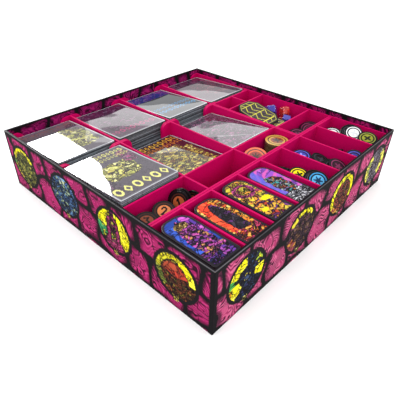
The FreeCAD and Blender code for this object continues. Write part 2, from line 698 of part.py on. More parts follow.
def build():
    stays = corner_stays()
    box_walls(stays)
    box_papers()
    printed_wrap()
    front_tray()
    middle_tray()
    side_tray()
    rear_tray()
    decks()
    arched_tiles()
    token_piles()
    round_counters()
    clipped_tiles()
    acrylic_cubes()


def check_and_export():
    doc.recompute()
    for item in doc.Objects:
        if "Invalid" in item.State or "Error" in item.State:
            raise RuntimeError(f"{item.Label} failed: {item.State}")
    for name, item in parts.items():
        if item.Shape.isNull() or not item.Shape.isValid():
            raise RuntimeError(f"{name} has no valid shape")
    os.makedirs("parts", exist_ok=True)
    for name, item in parts.items():
        item.Shape.exportStep(f"parts/{name}.step")
    print(len(parts), "sub-parts,", sum(len(item.Shape.Solids) for item in parts.values()), "solids")


build()
check_and_export()
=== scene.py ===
import json
import math

import bmesh
import bpy
import numpy as np
from mathutils import Euler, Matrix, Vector


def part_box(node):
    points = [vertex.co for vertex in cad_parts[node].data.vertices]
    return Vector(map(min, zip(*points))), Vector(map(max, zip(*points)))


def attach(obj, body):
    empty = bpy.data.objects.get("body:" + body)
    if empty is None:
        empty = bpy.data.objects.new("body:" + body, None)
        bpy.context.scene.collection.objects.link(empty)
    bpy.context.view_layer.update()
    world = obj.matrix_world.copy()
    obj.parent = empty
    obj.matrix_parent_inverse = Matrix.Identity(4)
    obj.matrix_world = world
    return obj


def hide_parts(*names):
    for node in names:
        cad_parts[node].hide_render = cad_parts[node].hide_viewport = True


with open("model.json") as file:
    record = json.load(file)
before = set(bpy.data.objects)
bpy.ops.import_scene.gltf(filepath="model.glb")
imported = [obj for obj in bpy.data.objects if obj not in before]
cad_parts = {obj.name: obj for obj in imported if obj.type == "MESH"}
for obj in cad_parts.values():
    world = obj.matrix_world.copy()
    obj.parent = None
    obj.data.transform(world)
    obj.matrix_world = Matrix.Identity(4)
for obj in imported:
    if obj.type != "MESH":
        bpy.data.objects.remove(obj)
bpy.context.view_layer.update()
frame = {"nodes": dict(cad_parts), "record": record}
MM = 0.001


# ---------------------------------------------------------------- colour and numbers
def linear(hex_colour):
    """An sRGB hex colour as linear red, green, blue."""
    values = np.array([int(hex_colour[i:i + 2], 16) for i in (1, 3, 5)]) / 255.0
    return np.where(values <= 0.04045, values / 12.92, ((values + 0.055) / 1.055) ** 2.4)


def palette(*colours):
    return np.array([linear(colour) for colour in colours])


def scatter(a, b, seed):
    """A repeatable value from 0 to 1 for every pair a, b: the fraction of a large sine."""
    wave = np.sin(a * 127.1 + b * 311.7 + seed * 74.7) * 43758.5453
    return wave - np.floor(wave)


def noise(u, v, size, seed):
    """Smooth value noise: scatter on a grid of that size, blended between the grid's points."""
    gu, gv = np.floor(u / size), np.floor(v / size)
    fu, fv = u / size - gu, v / size - gv
    su, sv = fu * fu * (3 - 2 * fu), fv * fv * (3 - 2 * fv)
    low = scatter(gu, gv, seed) * (1 - su) + scatter(gu + 1, gv, seed) * su
    high = scatter(gu, gv + 1, seed) * (1 - su) + scatter(gu + 1, gv + 1, seed) * su
    return low * (1 - sv) + high * sv


def shards(u, v, size, seed):
    """Cells round points jittered on a grid: a random value for each, and the distance to its edge."""
    gu, gv = np.floor(u / size), np.floor(v / size)
    best = np.full(np.shape(u), 1e9)
    second = best.copy()
    value = np.zeros(np.shape(u))
    for du in (-1, 0, 1):
        for dv in (-1, 0, 1):
            cu, cv = gu + du, gv + dv
            pu = (cu + 0.1 + 0.8 * scatter(cu, cv, seed)) * size
            pv = (cv + 0.1 + 0.8 * scatter(cu, cv, seed + 1)) * size
            far = np.hypot(u - pu, v - pv)
            nearer = far < best
            second = np.where(nearer, best, np.minimum(second, far))
            value = np.where(nearer, scatter(cu, cv, seed + 2), value)
            best = np.where(nearer, far, best)
    return value, (second - best) / 2


def lay(ground, colour, share):
    """A hex colour, or one for each point, laid over the ground where share is 1."""
    colour = linear(colour) if isinstance(colour, str) else colour
    share = np.clip(share, 0, 1)[..., None]
    return ground * (1 - share) + colour * share


def soft_edge(distance, width):
    """0 below zero and 1 above width, straight between."""
    return np.clip(distance / width, 0, 1)


def picked(colours, value):
    """One of the colours for each value from 0 to 1."""
    return colours[np.minimum((value * len(colours)).astype(int), len(colours) - 1)]


def mosaic(u, v, colours, size, seed, lead=0.3, ink="#120f13"):
    """Stained glass: wavy shards in those colours, some cut up smaller, with dark leads between them."""
    wu = u + size * 1.5 * (noise(u, v, size * 1.3, seed + 11) - 0.5)
    wv = v + size * 1.5 * (noise(u, v, size * 1.3, seed + 12) - 0.5)
    value, edge = shards(wu * 0.75, wv * 1.2, size, seed)
    small, small_edge = shards(wu * 1.2, wv * 0.8, size * 0.5, seed + 20)
    cut_up = scatter(value, 5.0, seed) < 0.45
    edge = np.where(cut_up, np.minimum(edge, small_edge), edge)
    colour = picked(colours, np.where(cut_up, small, value))
    tone = 0.8 + 0.45 * noise(u, v, size * 0.7, seed + 5)
    return lay(colour * tone[..., None], linear(ink), 1 - soft_edge(edge - lead * 0.5, lead * 0.8))


# ---------------------------------------------------------------- meshes
def placed(name, data):
    """A new object with that data, in the scene."""
    made = bpy.data.objects.new(name, data)
    bpy.context.scene.collection.objects.link(made)
    return made


def paint(mesh, colours):
    """Keep a colour for each point of the mesh as its print."""
    rgba = np.ones((len(mesh.vertices), 4))
    rgba[:, :3] = colours.reshape(-1, 3)
    layer = mesh.color_attributes.new("print", "FLOAT_COLOR", "POINT")
    layer.data.foreach_set("color", rgba.ravel().astype(np.float32))


def surface(name, points, faces, colours=None):
    """A mesh object from points in metres and faces, with its print as a colour at each point."""
    mesh = bpy.data.meshes.new(name)
    mesh.from_pydata(points.reshape(-1, 3).tolist(), [], [list(map(int, face)) for face in faces])
    if colours is not None:
        paint(mesh, colours)
    mesh.update()
    return placed(name, mesh)


def grid_faces(rows, columns, flip=False, wrap=False):
    """Quads of a rows by columns grid of points, numbered row by row."""
    r, c = np.meshgrid(np.arange(rows - 1), np.arange(columns if wrap else columns - 1), indexing="ij")
    after = (c + 1) % columns
    quads = np.stack([r * columns + c, r * columns + after, (r + 1) * columns + after,
                      (r + 1) * columns + c], -1).reshape(-1, 4)
    return quads[:, ::-1] if flip else quads


def smooth(piece, angle=40):
    """Shade smooth, but keep edges sharper than the angle."""
    piece.data.polygons.foreach_set("use_smooth", [True] * len(piece.data.polygons))
    piece.data.set_sharp_from_angle(angle=math.radians(angle))


def dress(piece, body, slot, finish, *nodes):
    """Give a piece its material and its CAD body, and hide the nodes it stands for; the record slot is not
    used.
    """
    piece.data.materials.append(finish)
    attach(piece, body)
    if nodes:
        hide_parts(*nodes)
    return piece


def points_of(mesh):
    """The points of a mesh, one row each."""
    spots = np.empty(len(mesh.vertices) * 3)
    mesh.vertices.foreach_get("co", spots)
    return spots.reshape(-1, 3)


def solids(name):
    """The separate solids of a CAD node, lowest first, each as an array of its corners."""
    mesh = frame["nodes"][name].data
    corners = np.empty(len(mesh.loops), dtype=int)
    mesh.loops.foreach_get("vertex_index", corners)
    keys, index = np.unique(np.round(points_of(mesh) * 1e6).astype(int), axis=0, return_inverse=True)
    triangles = index.ravel()[corners].reshape(-1, 3)
    label = np.arange(len(keys))
    while True:
        least = label[triangles].min(axis=1)
        before = label.copy()
        np.minimum.at(label, triangles.ravel(), np.repeat(least, 3))
        label = label[label]
        if np.array_equal(label, before):
            break
    found = [keys[label == one] * 1e-6 for one in np.unique(label)]
    return sorted(found, key=lambda points: points[:, 2].mean())


# ---------------------------------------------------------------- materials
def node(tree, kind, inputs=None, output=0, **settings):
    """Add one shader node with its settings and linked or fixed inputs; return one of its outputs."""
    made = tree.nodes.new("ShaderNode" + kind)
    for key, value in settings.items():
        setattr(made, key, value)
    for key, value in (inputs or {}).items():
        if isinstance(value, bpy.types.NodeSocket):
            tree.links.new(value, made.inputs[key])
        else:
            made.inputs[key].default_value = value
    return made.outputs[output] if output is not None else made


def material(name, shader, colour, tone, patch, lump=0.0, depth=0.0, detail=2.0):
    """A principled material over one colour, or over the piece's own print where colour is None.

    tone is the least and most that its patches, patch mm across, scale the colour; they change the
    roughness a little too. The bump is depth mm deep and its lumps are lump mm across.
    """
    finish = bpy.data.materials.new(name)
    finish.use_nodes = True
    tree = finish.node_tree
    tree.nodes.clear()
    place = node(tree, "TexCoord", output="Object")
    patches = node(tree, "TexNoise", {"Vector": place, "Scale": 1 / (patch * MM), "Detail": 2.0,
                                      "Roughness": 0.5})
    if colour is None:
        base = node(tree, "Attribute", attribute_name="print")
    else:
        base = node(tree, "CombineXYZ", dict(zip("XYZ", map(float, linear(colour)))))
    span = {"Value": patches, "From Min": 0.3, "From Max": 0.7}
    share = node(tree, "MapRange", {**span, "To Min": tone[0], "To Max": tone[1]})
    rough = node(tree, "MapRange", {**span, "To Min": shader["Roughness"] * 0.85,
                                    "To Max": shader["Roughness"] * 1.15})
    inputs = dict(shader, Roughness=rough)
    inputs["Base Color"] = node(tree, "VectorMath", {"Vector": base, "Scale": share}, operation="SCALE")
    if depth:
        lumps = node(tree, "TexNoise", {"Vector": place, "Scale": 1 / (lump * MM), "Detail": detail,
                                        "Roughness": 0.5})
        inputs["Normal"] = node(tree, "Bump", {"Height": lumps, "Strength": 1.0, "Distance": depth * MM})
    node(tree, "OutputMaterial", {"Surface": node(tree, "BsdfPrincipled", inputs)}, output=None)
    return finish


# Gloss-laminated art paper: the film gives a soft sheen that washes the print out at a grazing angle.
laminated_paper = material(
    "laminated_art_paper",
    {"Roughness": 0.5, "Specular IOR Level": 0.0, "Coat Weight": 0.09, "Coat Roughness": 0.25},
    None, (0.93, 1.07), 0.6, lump=0.5, depth=0.02)
# Closed-cell EVA foam sheet: matt, faintly pitted, a deep magenta that glows where it catches light.
foam = material(
    "eva_foam_sheet", {"Roughness": 0.6, "IOR": 1.45, "Specular IOR Level": 0.04},
    "#c00357", (0.94, 1.06), 1.5, lump=0.45, depth=0.05, detail=3.0)
# Grey chipboard: recycled fibre, dull, with darker flecks.
chipboard = material(
    "grey_chipboard", {"Roughness": 0.85}, "#8d8578", (0.85, 1.12), 0.8, lump=0.5, depth=0.05, detail=4.0)
# Uncoated black paper under the box and on its floor: dull, with a fine tooth.
black_paper = material(
    "black_uncoated_paper", {"Roughness": 0.85}, "#1a171c", (0.85, 1.15), 0.7, lump=0.3, depth=0.03,
    detail=3.0)
# Gummed kraft paper of the corner stays: light brown, cloudy.
kraft = material(
    "gummed_kraft_paper", {"Roughness": 0.8}, "#9a7a55", (0.88, 1.1), 1.2, lump=0.6, depth=0.03, detail=3.0)
# Polypropylene sleeve over a printed card: a clear glossy film that never lies quite flat.
sleeve_film = material(
    "clear_sleeve_over_card",
    {"Roughness": 0.5, "Specular IOR Level": 0.0, "Coat Weight": 1.0, "Coat Roughness": 0.03,
     "Coat IOR": 1.6},
    None, (0.95, 1.05), 0.5, lump=30.0, depth=0.35, detail=1.5)
# Edges of a stack of sleeves: grey, half clear, each with its own glint.
sleeve_edges = material(
    "sleeve_edges", {"Roughness": 0.35, "Specular IOR Level": 0.3},
    None, (0.8, 1.2), 3.0, lump=1.2, depth=0.05)
# Die-cut board tile or token with a satin varnish over the print.
varnished_board = material(
    "varnished_printed_board",
    {"Roughness": 0.4, "Specular IOR Level": 0.02, "Coat Weight": 0.14, "Coat Roughness": 0.12},
    None, (0.93, 1.07), 0.5, lump=0.5, depth=0.02)
# Lacquered counters: turned, with a hard clear coat.
lacquer = material(
    "lacquered_counter",
    {"Roughness": 0.35, "Specular IOR Level": 0.2, "Coat Weight": 0.4, "Coat Roughness": 0.08},
    None, (0.9, 1.1), 1.0, lump=0.8, depth=0.03)
# Tinted cast acrylic: deep colour, sharp highlights.
acrylic = material(
    "tinted_acrylic",
    {"Roughness": 0.06, "IOR": 1.49, "Transmission Weight": 0.35, "Coat Weight": 0.6,
     "Coat Roughness": 0.03},
    None, (0.92, 1.08), 3.0)

FINISHES = {"magenta_foam": foam, "chipboard": chipboard, "black_paper": black_paper, "brown_paper": kraft}


# ---------------------------------------------------------------- the printed wrap
BOX_LOW, BOX_HIGH = (np.array(corner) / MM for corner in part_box("printed_wrap"))
BOX_HEIGHT = BOX_HIGH[2]
SIDE_LENGTH = BOX_HIGH[0] - BOX_LOW[0]
CORNER_ROUND = 0.8
WALL_THICKNESS = 2.8
TURN_IN = 22.0
RIM_ROUND = 0.9
PAPER = 0.25
# Share of the light grey line along the rim's outer edge: a painted highlight, with some edge wear.
RIM_WEAR_AND_SHEEN = 0.3
PRINT_STEP = 0.6
MEDALLION_PITCH = 77.0
MEDALLION_FIRST = 38.5
MEDALLION_HEIGHT = 34.5
MEDALLION_RADIUS = 21.3
MEDALLION_RING = 24.6
LEAD = "#191519"
# Dark, middle and light of the printed blocks. The front and back tints are greyer and lighter than the
# ends' tints: a painted sheen for the gloss wash on the front face.
END_TINTS = ("#2a0a1e", "#981f58", "#c83a7c")
SHEEN_PAINTED_FRONT_TINTS = ("#301526", "#a23562", "#d2688f")
INSIDE_TINTS = ("#22061a", "#76104c", "#a82068")

YELLOW = palette("#f4e916", "#e6d81c", "#f7ef3a")
BROWN = palette("#6b3a24", "#8b4a2a", "#4a3222", "#9a8a34", "#5c2f20")
# Each medallion: its shards, its arcs (from and to radius, from and to degrees, colours), its arch.
MEDALLIONS = [
    {"fill": BROWN, "arcs": [(0, 14, 20, 165, palette("#b33a2a", "#8e2f28", "#a5462f")),
                             (16, 22, 60, 175, palette("#c9c22c", "#e8d820")), (14.5, 22, 5, 75, YELLOW),
                             (15, 22, 175, 230, palette("#8f9438", "#5f6a2c"))]},
    {"fill": palette("#5d2745", "#3a2333", "#7b2d58"),
     "arcs": [(9, 22, -42, 82, YELLOW), (9, 22, 98, 168, YELLOW),
              (10, 22, 168, 218, palette("#2f8a55", "#4ba05e", "#d9d42c"))],
     "arch": (8.0, 17.0, palette("#9c3462", "#a83c6c", "#8b2c56"))},
    {"fill": palette("#3c5a86", "#5f86b4", "#28364e", "#2d4468", "#93a98c", "#4b6f9c"),
     "arcs": [(13, 22, 60, 110, palette("#6f9ac6", "#3f66a0", "#b9c4a0"))]},
    {"fill": palette("#83863a", "#6d7438", "#9c9a44", "#565c33", "#a8a04a"),
     "arcs": [(17, 22, 30, 165, YELLOW), (18, 22, 175, 240, palette("#4b8c3f", "#c8a83c"))]},
    {"fill": palette("#20263a", "#171a26", "#2c4664", "#1b2233", "#33305a"),
     "arcs": [(12, 22, 95, 160, YELLOW), (14, 22, 20, 62, palette("#e8e02a", "#a9c438", "#26303c")),
              (10, 22, -25, 10, YELLOW), (9, 22, 180, 232, palette("#f0e020", "#d88a24", "#f4ea40")),
              (13, 22, 160, 182, palette("#3f9a48", "#5ba83c")),
              (0, 4, 0, 360, palette("#c7b93a", "#3a4a6a"))]},
    {"fill": palette("#5e3a4c", "#4a3440", "#75584a", "#6a4a38", "#3a2c34"),
     "arcs": [(16.5, 22, 35, 112, YELLOW), (15, 22, 118, 150, palette("#e2cf3a", "#8e3f6a")),
              (12, 22, 195, 250, palette("#b4552f", "#c78a3c", "#8e3f4a"))]},
    {"fill": palette("#a04a40", "#8a4440", "#b0603f", "#6f3a3a", "#7c6a3c"),
     "arcs": [(16, 22, -30, 215, YELLOW), (16, 22, 215, 260, palette("#c98f3a", "#b0503f"))]},
    {"fill": palette("#7d7480", "#8a7f8a", "#6b636e", "#847a80"),
     "arcs": [(13, 22, start, start + 100, palette("#e5dd5a", "#efe76a", "#8f9a5a"))
              for start in (-48, 128)]},
]
SIDE_MEDALLIONS = {"left": (0, 1, 2, 3), "front": (4, 5, 6, 7), "back": (2, 6, 0, 5), "right": (1, 3, 4, 6)}


def masonry(u, v, seed):
    """Two wavy courses of blocks; block number, and distance to the joint round it."""
    du = u + 9.0 * (noise(u, v, 15.0, seed) - 0.5)
    dv = v + 9.0 * (noise(u, v, 19.0, seed + 3) - 0.5)
    course = np.where(dv > 36.0, 1.0, 0.0)
    near = np.full(np.shape(u), 1e9)
    block = np.zeros(np.shape(u))
    width = 34.0
    first = np.floor(du / width - 0.45 * course)
    for step in (-1, 0, 1, 2):
        joint = (first + step + 0.45 * course) * width + 12.0 * (scatter(first + step, course, seed) - 0.5)
        near = np.minimum(near, np.abs(du - joint))
        block += np.where(joint <= du, 1, 0)
    level = np.minimum(np.abs(dv - 36.0), np.minimum(np.abs(dv - 1.0), np.abs(dv - 66.0)))
    rounded_joint = -np.log(np.exp(-near / 2.2) + np.exp(-level / 2.2)) * 2.2
    return first + block + 37 * course, rounded_joint


def blocks_print(u, v, seed, dark, mid, light):
    """Pink blocks with flowing engraved curls, darker at their rims, in thick black joints."""
    number, joint = masonry(u, v, seed)
    heading = scatter(number, 1.0, seed) * math.pi
    swirl = 26.0 * noise(u, v, 10.0, seed + 9) + 4.0 * noise(u, v, 4.0, seed + 10)
    flow = u * np.cos(heading) + v * np.sin(heading) + swirl
    lines = 0.5 + 0.5 * np.sin(flow * 2 * math.pi / 4.2)
    fine = noise(u, v, 1.2, seed + 4)
    patch = noise(u, v, 4.5, seed + 6)
    colour = lay(np.broadcast_to(linear(mid), (*np.shape(u), 3)), linear(light),
                 0.8 * soft_edge(lines - 0.62 + 0.5 * (patch - 0.5), 0.25))
    broken = soft_edge(noise(u, v, 6.5, seed + 14) - 0.34, 0.2)
    colour = lay(colour, dark, broken * soft_edge(0.36 + 0.6 * (patch - 0.5) - lines, 0.2))
    knot_value, knot = shards(u, v, 15.0, seed + 12)
    colour = lay(colour, dark, np.where(knot_value > 0.55, 1 - np.abs(knot - 2.2) / 0.8, 0))
    colour = lay(colour, mid, np.where((knot_value > 0.55) & (knot > 4.4), 0.8, 0))
    cloud = noise(u, v, 8.0, seed + 15)
    colour = lay(colour, dark, 0.85 - soft_edge(joint - 2.2 + 5.0 * (cloud - 0.5), 4.2))
    return lay(colour, "#151215", 1 - soft_edge(joint - 2.1 + 1.3 * (fine - 0.5), 0.5))


def medallion_print(x, y, design, seed):
    """Round window of coloured shards with arcs of other colours and perhaps an arch."""
    radius = np.hypot(x, y)
    angle = np.degrees(np.arctan2(y, x))
    colour = mosaic(x, y, design["fill"], 2.7, seed)
    strokes = np.sin((x * math.cos(seed) + y * math.sin(seed) + 7.0 * noise(x, y, 5.0, seed + 8)) * 3.1)
    colour = lay(colour, "#120f13", 0.8 * soft_edge(strokes - 0.55, 0.3))
    wobble = 1.6 * (noise(x, y, 4.0, seed + 7) - 0.5)
    for low, high, start, end, tints in design["arcs"]:
        turn = (angle - start) % 360
        inside = (radius + wobble > low) & (radius < high) & (turn + 6 * wobble < end - start)
        colour = np.where(inside[..., None], mosaic(x, y, tints, 5.5, seed + low, 0.3), colour)
        rim = np.abs(radius + wobble - low) if low > 0 else np.full(np.shape(x), 9.0)
        lead = 1 - soft_edge(rim - 0.3, 0.3)
        colour = lay(colour, LEAD, np.where(turn < end - start, lead, 0))
    if "arch" in design:
        half, top, tints = design["arch"]
        shape = np.where(y > top - half, np.hypot(x, y - top + half), np.abs(x)) + 0.5 * wobble
        hood = (shape < half + np.where(y < -6, (-6 - y) * 0.45, 0)) & (y > -20)
        colour = np.where(hood[..., None], mosaic(x, y, tints, 4.0, seed + 2), colour)
        hollow = (shape < 3.6) & (y > -12)
        inner = mosaic(x, y, palette("#c9bd3c", "#4b7a3c", "#7d2f55", "#2b2226", "#a99a3a"), 2.2, seed + 4)
        colour = np.where(hollow[..., None], inner, colour)
        for border in (half, 3.6):
            lead = 1 - soft_edge(np.abs(shape - border) - 0.3, 0.3)
            colour = lay(colour, LEAD, np.where(y > -16, lead, 0))
    return colour


def wall_print(u, v, side):
    """The outside of one wall: blocks, four medallions with small tags, black edges."""
    seed = {"left": 3, "front": 11, "back": 23, "right": 31}[side]
    # The front and back take the lighter tints that carry a painted sheen.
    colour = blocks_print(u, v, seed, *(END_TINTS if side in ("left", "right") else SHEEN_PAINTED_FRONT_TINTS))
    for index, design in enumerate(SIDE_MEDALLIONS[side]):
        x, y = u - (MEDALLION_FIRST + index * MEDALLION_PITCH - 0.5 * index), v - MEDALLION_HEIGHT
        if side in ("left", "back"):
            x = -x
        radius = np.hypot(x, y)
        ragged = radius + 0.8 * (noise(u, v, 3.0, seed + index) - 0.5)
        colour = lay(colour, "#19161a", 1 - soft_edge(ragged - MEDALLION_RING, 0.6))
        window = medallion_print(x, y, MEDALLIONS[design], seed + index)
        colour = np.where((ragged < MEDALLION_RADIUS)[..., None], window, colour)
        tag = np.maximum(np.abs(x) / 3.4, np.abs(y + 23.5) / 3.6) + 0.25 * np.hypot(x, y + 23.5) / 3.5
        cream = mosaic(x, y, palette("#d9c862", "#c9b04a", "#e6db86"), 1.7, seed, 0.3)
        colour = np.where((tag < 1.1)[..., None], cream, colour)
    edge = np.minimum(np.minimum(u, SIDE_LENGTH - u) - 3.6, BOX_HEIGHT - v - 2.6)
    return lay(colour, "#141215", 1 - soft_edge(edge + 0.5 * (noise(u, v, 2.0, seed) - 0.5), 0.8))


def inside_print(u, depth, side):
    """The print turned in over the rim: dark magenta blocks crossed by black joints."""
    seed = {"left": 5, "front": 13, "back": 25, "right": 35}[side]
    colour = blocks_print(u, 62.0 - depth * 1.1, seed, *INSIDE_TINTS)
    return lay(colour, "#141014", 1 - soft_edge(depth - 1.2, 0.8))


def box_side(side, turns):
    """One side of the wrap: a closed profile carried along the side.

    The profile is heights and insets from the outer face: up the wall, over the rim as two quarter
    circles, down inside, and back behind the paper to the start. At the ends the side follows half
    of each rounded corner, x out by the sine and y in by one less the cosine; inside the corner a
    row shrinks to the 45 degree line. A flat cap on that line closes each end.
    """
    low, high = BOX_LOW[2], BOX_HIGH[2]
    fold = high - RIM_ROUND
    arc = np.linspace(0, math.pi / 2, 5)
    up = np.arange(low, fold, PRINT_STEP)
    down = np.append(np.arange(fold, high - TURN_IN, -2 * PRINT_STEP)[1:], high - TURN_IN)
    back_heights = [high - TURN_IN, fold, high - PAPER, high - PAPER, fold, low]
    back_insets = [WALL_THICKNESS - PAPER] * 2 + [WALL_THICKNESS - RIM_ROUND, RIM_ROUND, PAPER, PAPER]
    heights = np.concatenate([up, fold + RIM_ROUND * np.sin(arc), fold + RIM_ROUND * np.sin(arc[::-1]),
                              down, back_heights])
    insets = np.concatenate([0 * up, RIM_ROUND - RIM_ROUND * np.cos(arc),
                             WALL_THICKNESS - RIM_ROUND + RIM_ROUND * np.cos(arc[::-1]),
                             0 * down + WALL_THICKNESS, back_insets])
    half = SIDE_LENGTH / 2
    straight = half - CORNER_ROUND
    bend = np.linspace(0, math.pi / 4, 5)[1:]
    along = np.linspace(-straight, straight, int(2 * straight / PRINT_STEP))
    ends = straight + CORNER_ROUND * np.sin(bend)
    drops = CORNER_ROUND * (1 - np.cos(bend))
    run = np.concatenate([-ends[::-1], along, ends])[:, None]
    drop = np.concatenate([drops[::-1], 0 * along, drops])[:, None]
    turn = np.concatenate([-bend[::-1], 0 * along, bend])[:, None]
    inside_corner = insets > CORNER_ROUND
    x = np.where(inside_corner, run * (half - insets) / run.max(), run - insets * np.sin(turn))
    y = np.where(inside_corner, insets - half, drop - half + insets * np.cos(turn))
    z = np.broadcast_to(heights, x.shape)
    u = np.broadcast_to(run + half, x.shape)
    if side in ("left", "back"):
        u = SIDE_LENGTH - u
    outside = (insets < WALL_THICKNESS / 2)[None, :, None]
    colours = np.where(outside, wall_print(u, z, side), inside_print(u, high - z, side))
    # A light grey line along the rim's rounded outer edge: a painted highlight, with some edge wear.
    rim_sheen_band = np.exp(-((z - high + 0.2) / 0.35) ** 2) * np.exp(-((insets - 0.35) / 0.3) ** 2)
    colours = lay(colours, "#b0acb2", RIM_WEAR_AND_SHEEN * rim_sheen_band * (0.35 + noise(u, z, 24.0, 77)))
    spin = turns * math.pi / 2
    points = np.stack([x * math.cos(spin) - y * math.sin(spin),
                       x * math.sin(spin) + y * math.cos(spin), z], -1)
    rows, columns = x.shape
    first_cap = list(range(columns))
    last_cap = list(range(rows * columns - 1, (rows - 1) * columns - 1, -1))
    faces = [*grid_faces(rows, columns, flip=True, wrap=True), first_cap, last_cap]
    piece = surface(f"wrap_{side}", points * MM, faces, colours)
    smooth(piece, 60)
    dress(piece, "box", "printed_wrap", laminated_paper, "printed_wrap")


def printed_wrap():
    for turns, side in enumerate(("front", "right", "back", "left")):
        box_side(side, turns)


# ---------------------------------------------------------------- cards
def sheet_outline(width, length, near_round, far_round, columns, rows):
    """Grid over a card with rounded corners: each row is as wide as the outline is there.

    x is the column's share of the row's half width, which shrinks by a circle's sagitta near the
    ends; rows crowd towards the ends as the cosine does.
    """
    t = (1 - np.cos(np.linspace(0, math.pi, rows))) / 2
    y = (0.35 * t + 0.65 * np.linspace(0, 1, rows)) * length
    near = np.maximum(near_round - y, 0)
    far = np.maximum(y - (length - far_round), 0)
    inset = ((near_round - np.sqrt(near_round ** 2 - near ** 2))
             + (far_round - np.sqrt(far_round ** 2 - far ** 2)))
    s = np.linspace(-1, 1, columns)
    x = s[None, :] * (width / 2 - inset)[:, None]
    return x, np.broadcast_to(y[:, None], x.shape)


def border_indices(rows, columns):
    """Point numbers round the edge of a grid, anticlockwise seen from above."""
    near = np.arange(columns)
    right = np.arange(1, rows) * columns + columns - 1
    far = (rows - 1) * columns + np.arange(columns - 2, -1, -1)
    left = np.arange(rows - 2, 0, -1) * columns
    return np.concatenate([near, right, far, left])


def slab(x, y, top, thick, colours, edge_colour):
    """A closed slab: the top grid, a rim one slab's thickness down, and a flat bottom."""
    rows, columns = x.shape
    upper = np.stack([x, y, top], -1).reshape(-1, 3)
    ring = border_indices(rows, columns)
    edge_low = upper[ring].copy()
    edge_low[:, 2] -= thick
    points = np.concatenate([upper, edge_low])
    count = len(ring)
    start = len(upper)
    around = np.arange(count)
    after = (around + 1) % count
    sides = np.stack([start + around, start + after, ring[after], ring[around]], -1)
    faces = [*grid_faces(rows, columns), *sides, list(range(start + count - 1, start - 1, -1))]
    tints = np.concatenate([colours.reshape(-1, 3), np.broadcast_to(edge_colour, (count, 3))])
    return points, faces, tints


def joined(parts):
    """Several point, face and colour sets as one."""
    points, faces, tints, start = [], [], [], 0
    for spots, quads, colours in parts:
        points.append(spots)
        tints.append(colours)
        faces += [[int(index) + start for index in quad] for quad in quads]
        start += len(spots)
    return np.concatenate(points), faces, np.concatenate(tints)


def wash(x, y, base, tints, amount, size, seed):
    """A quiet ground with faint shards of other tints in it."""
    ground = np.broadcast_to(linear(base), (*np.shape(x), 3))
    value, edge = shards(x, y, size, seed)
    share = amount * soft_edge(edge - 0.15, 0.5) * (0.3 + noise(x, y, size * 2.5, seed + 1))
    return lay(ground, picked(tints, value), share)


def glyph_row(x, y, centre, height, pitch, seed, weight=0.24):
    """Where a row of made-up ornaments is inked: alternate lozenges and rings."""
    cell = np.floor(x / pitch)
    a = (x / pitch - cell - 0.5) * pitch
    b = y - centre
    lozenge = np.abs(a) / (pitch * 0.36) + np.abs(b) / (height * 0.5)
    ring = np.hypot(a / (pitch * 0.36), b / (height * 0.5))
    shape = np.where(cell % 2 == 0, lozenge, ring)
    return (np.abs(shape - 0.82) < weight) & (np.abs(x) < 30)


def card_print(x, y, design):
    """The face of a sleeved card: a ground, one or two blocks of shards, bands of ornament."""
    seed = design["seed"]
    colour = wash(x, y, design["base"], design["tints"], design["amount"], 2.4, seed)
    for cx, cy, wide, high, tints, size, share in design.get("patches", ()):
        blob = ((x - cx) / wide) ** 4 + ((y - cy) / high) ** 4 + 0.9 * (noise(x, y, 7.0, seed + 3) - 0.5)
        picture = mosaic(x, y, tints, size, seed + 4, 0.32, "#2c252c")
        colour = lay(colour, picture, share * (1 - soft_edge(blob - 0.75, 0.15)))
    for centre, high, pitch, ink, share in design.get("rows", ()):
        colour = lay(colour, ink, np.where(glyph_row(x, y, centre, high, pitch, seed), share, 0))
    for low, high, ink, share in design.get("bands", ()):
        inside = (y > low) & (y < high)
        band = wash(x, y, ink, palette("#8a6a88", ink, "#5a4060"), 0.45, 3.6, seed + 8)
        colour = lay(colour, band, np.where(inside, share, 0))
    border = np.minimum(31.5 - np.abs(x), np.minimum(y - 2.2, 87.0 - y))
    return lay(colour, design.get("border", "#68646c"), 1 - soft_edge(border, 0.5))


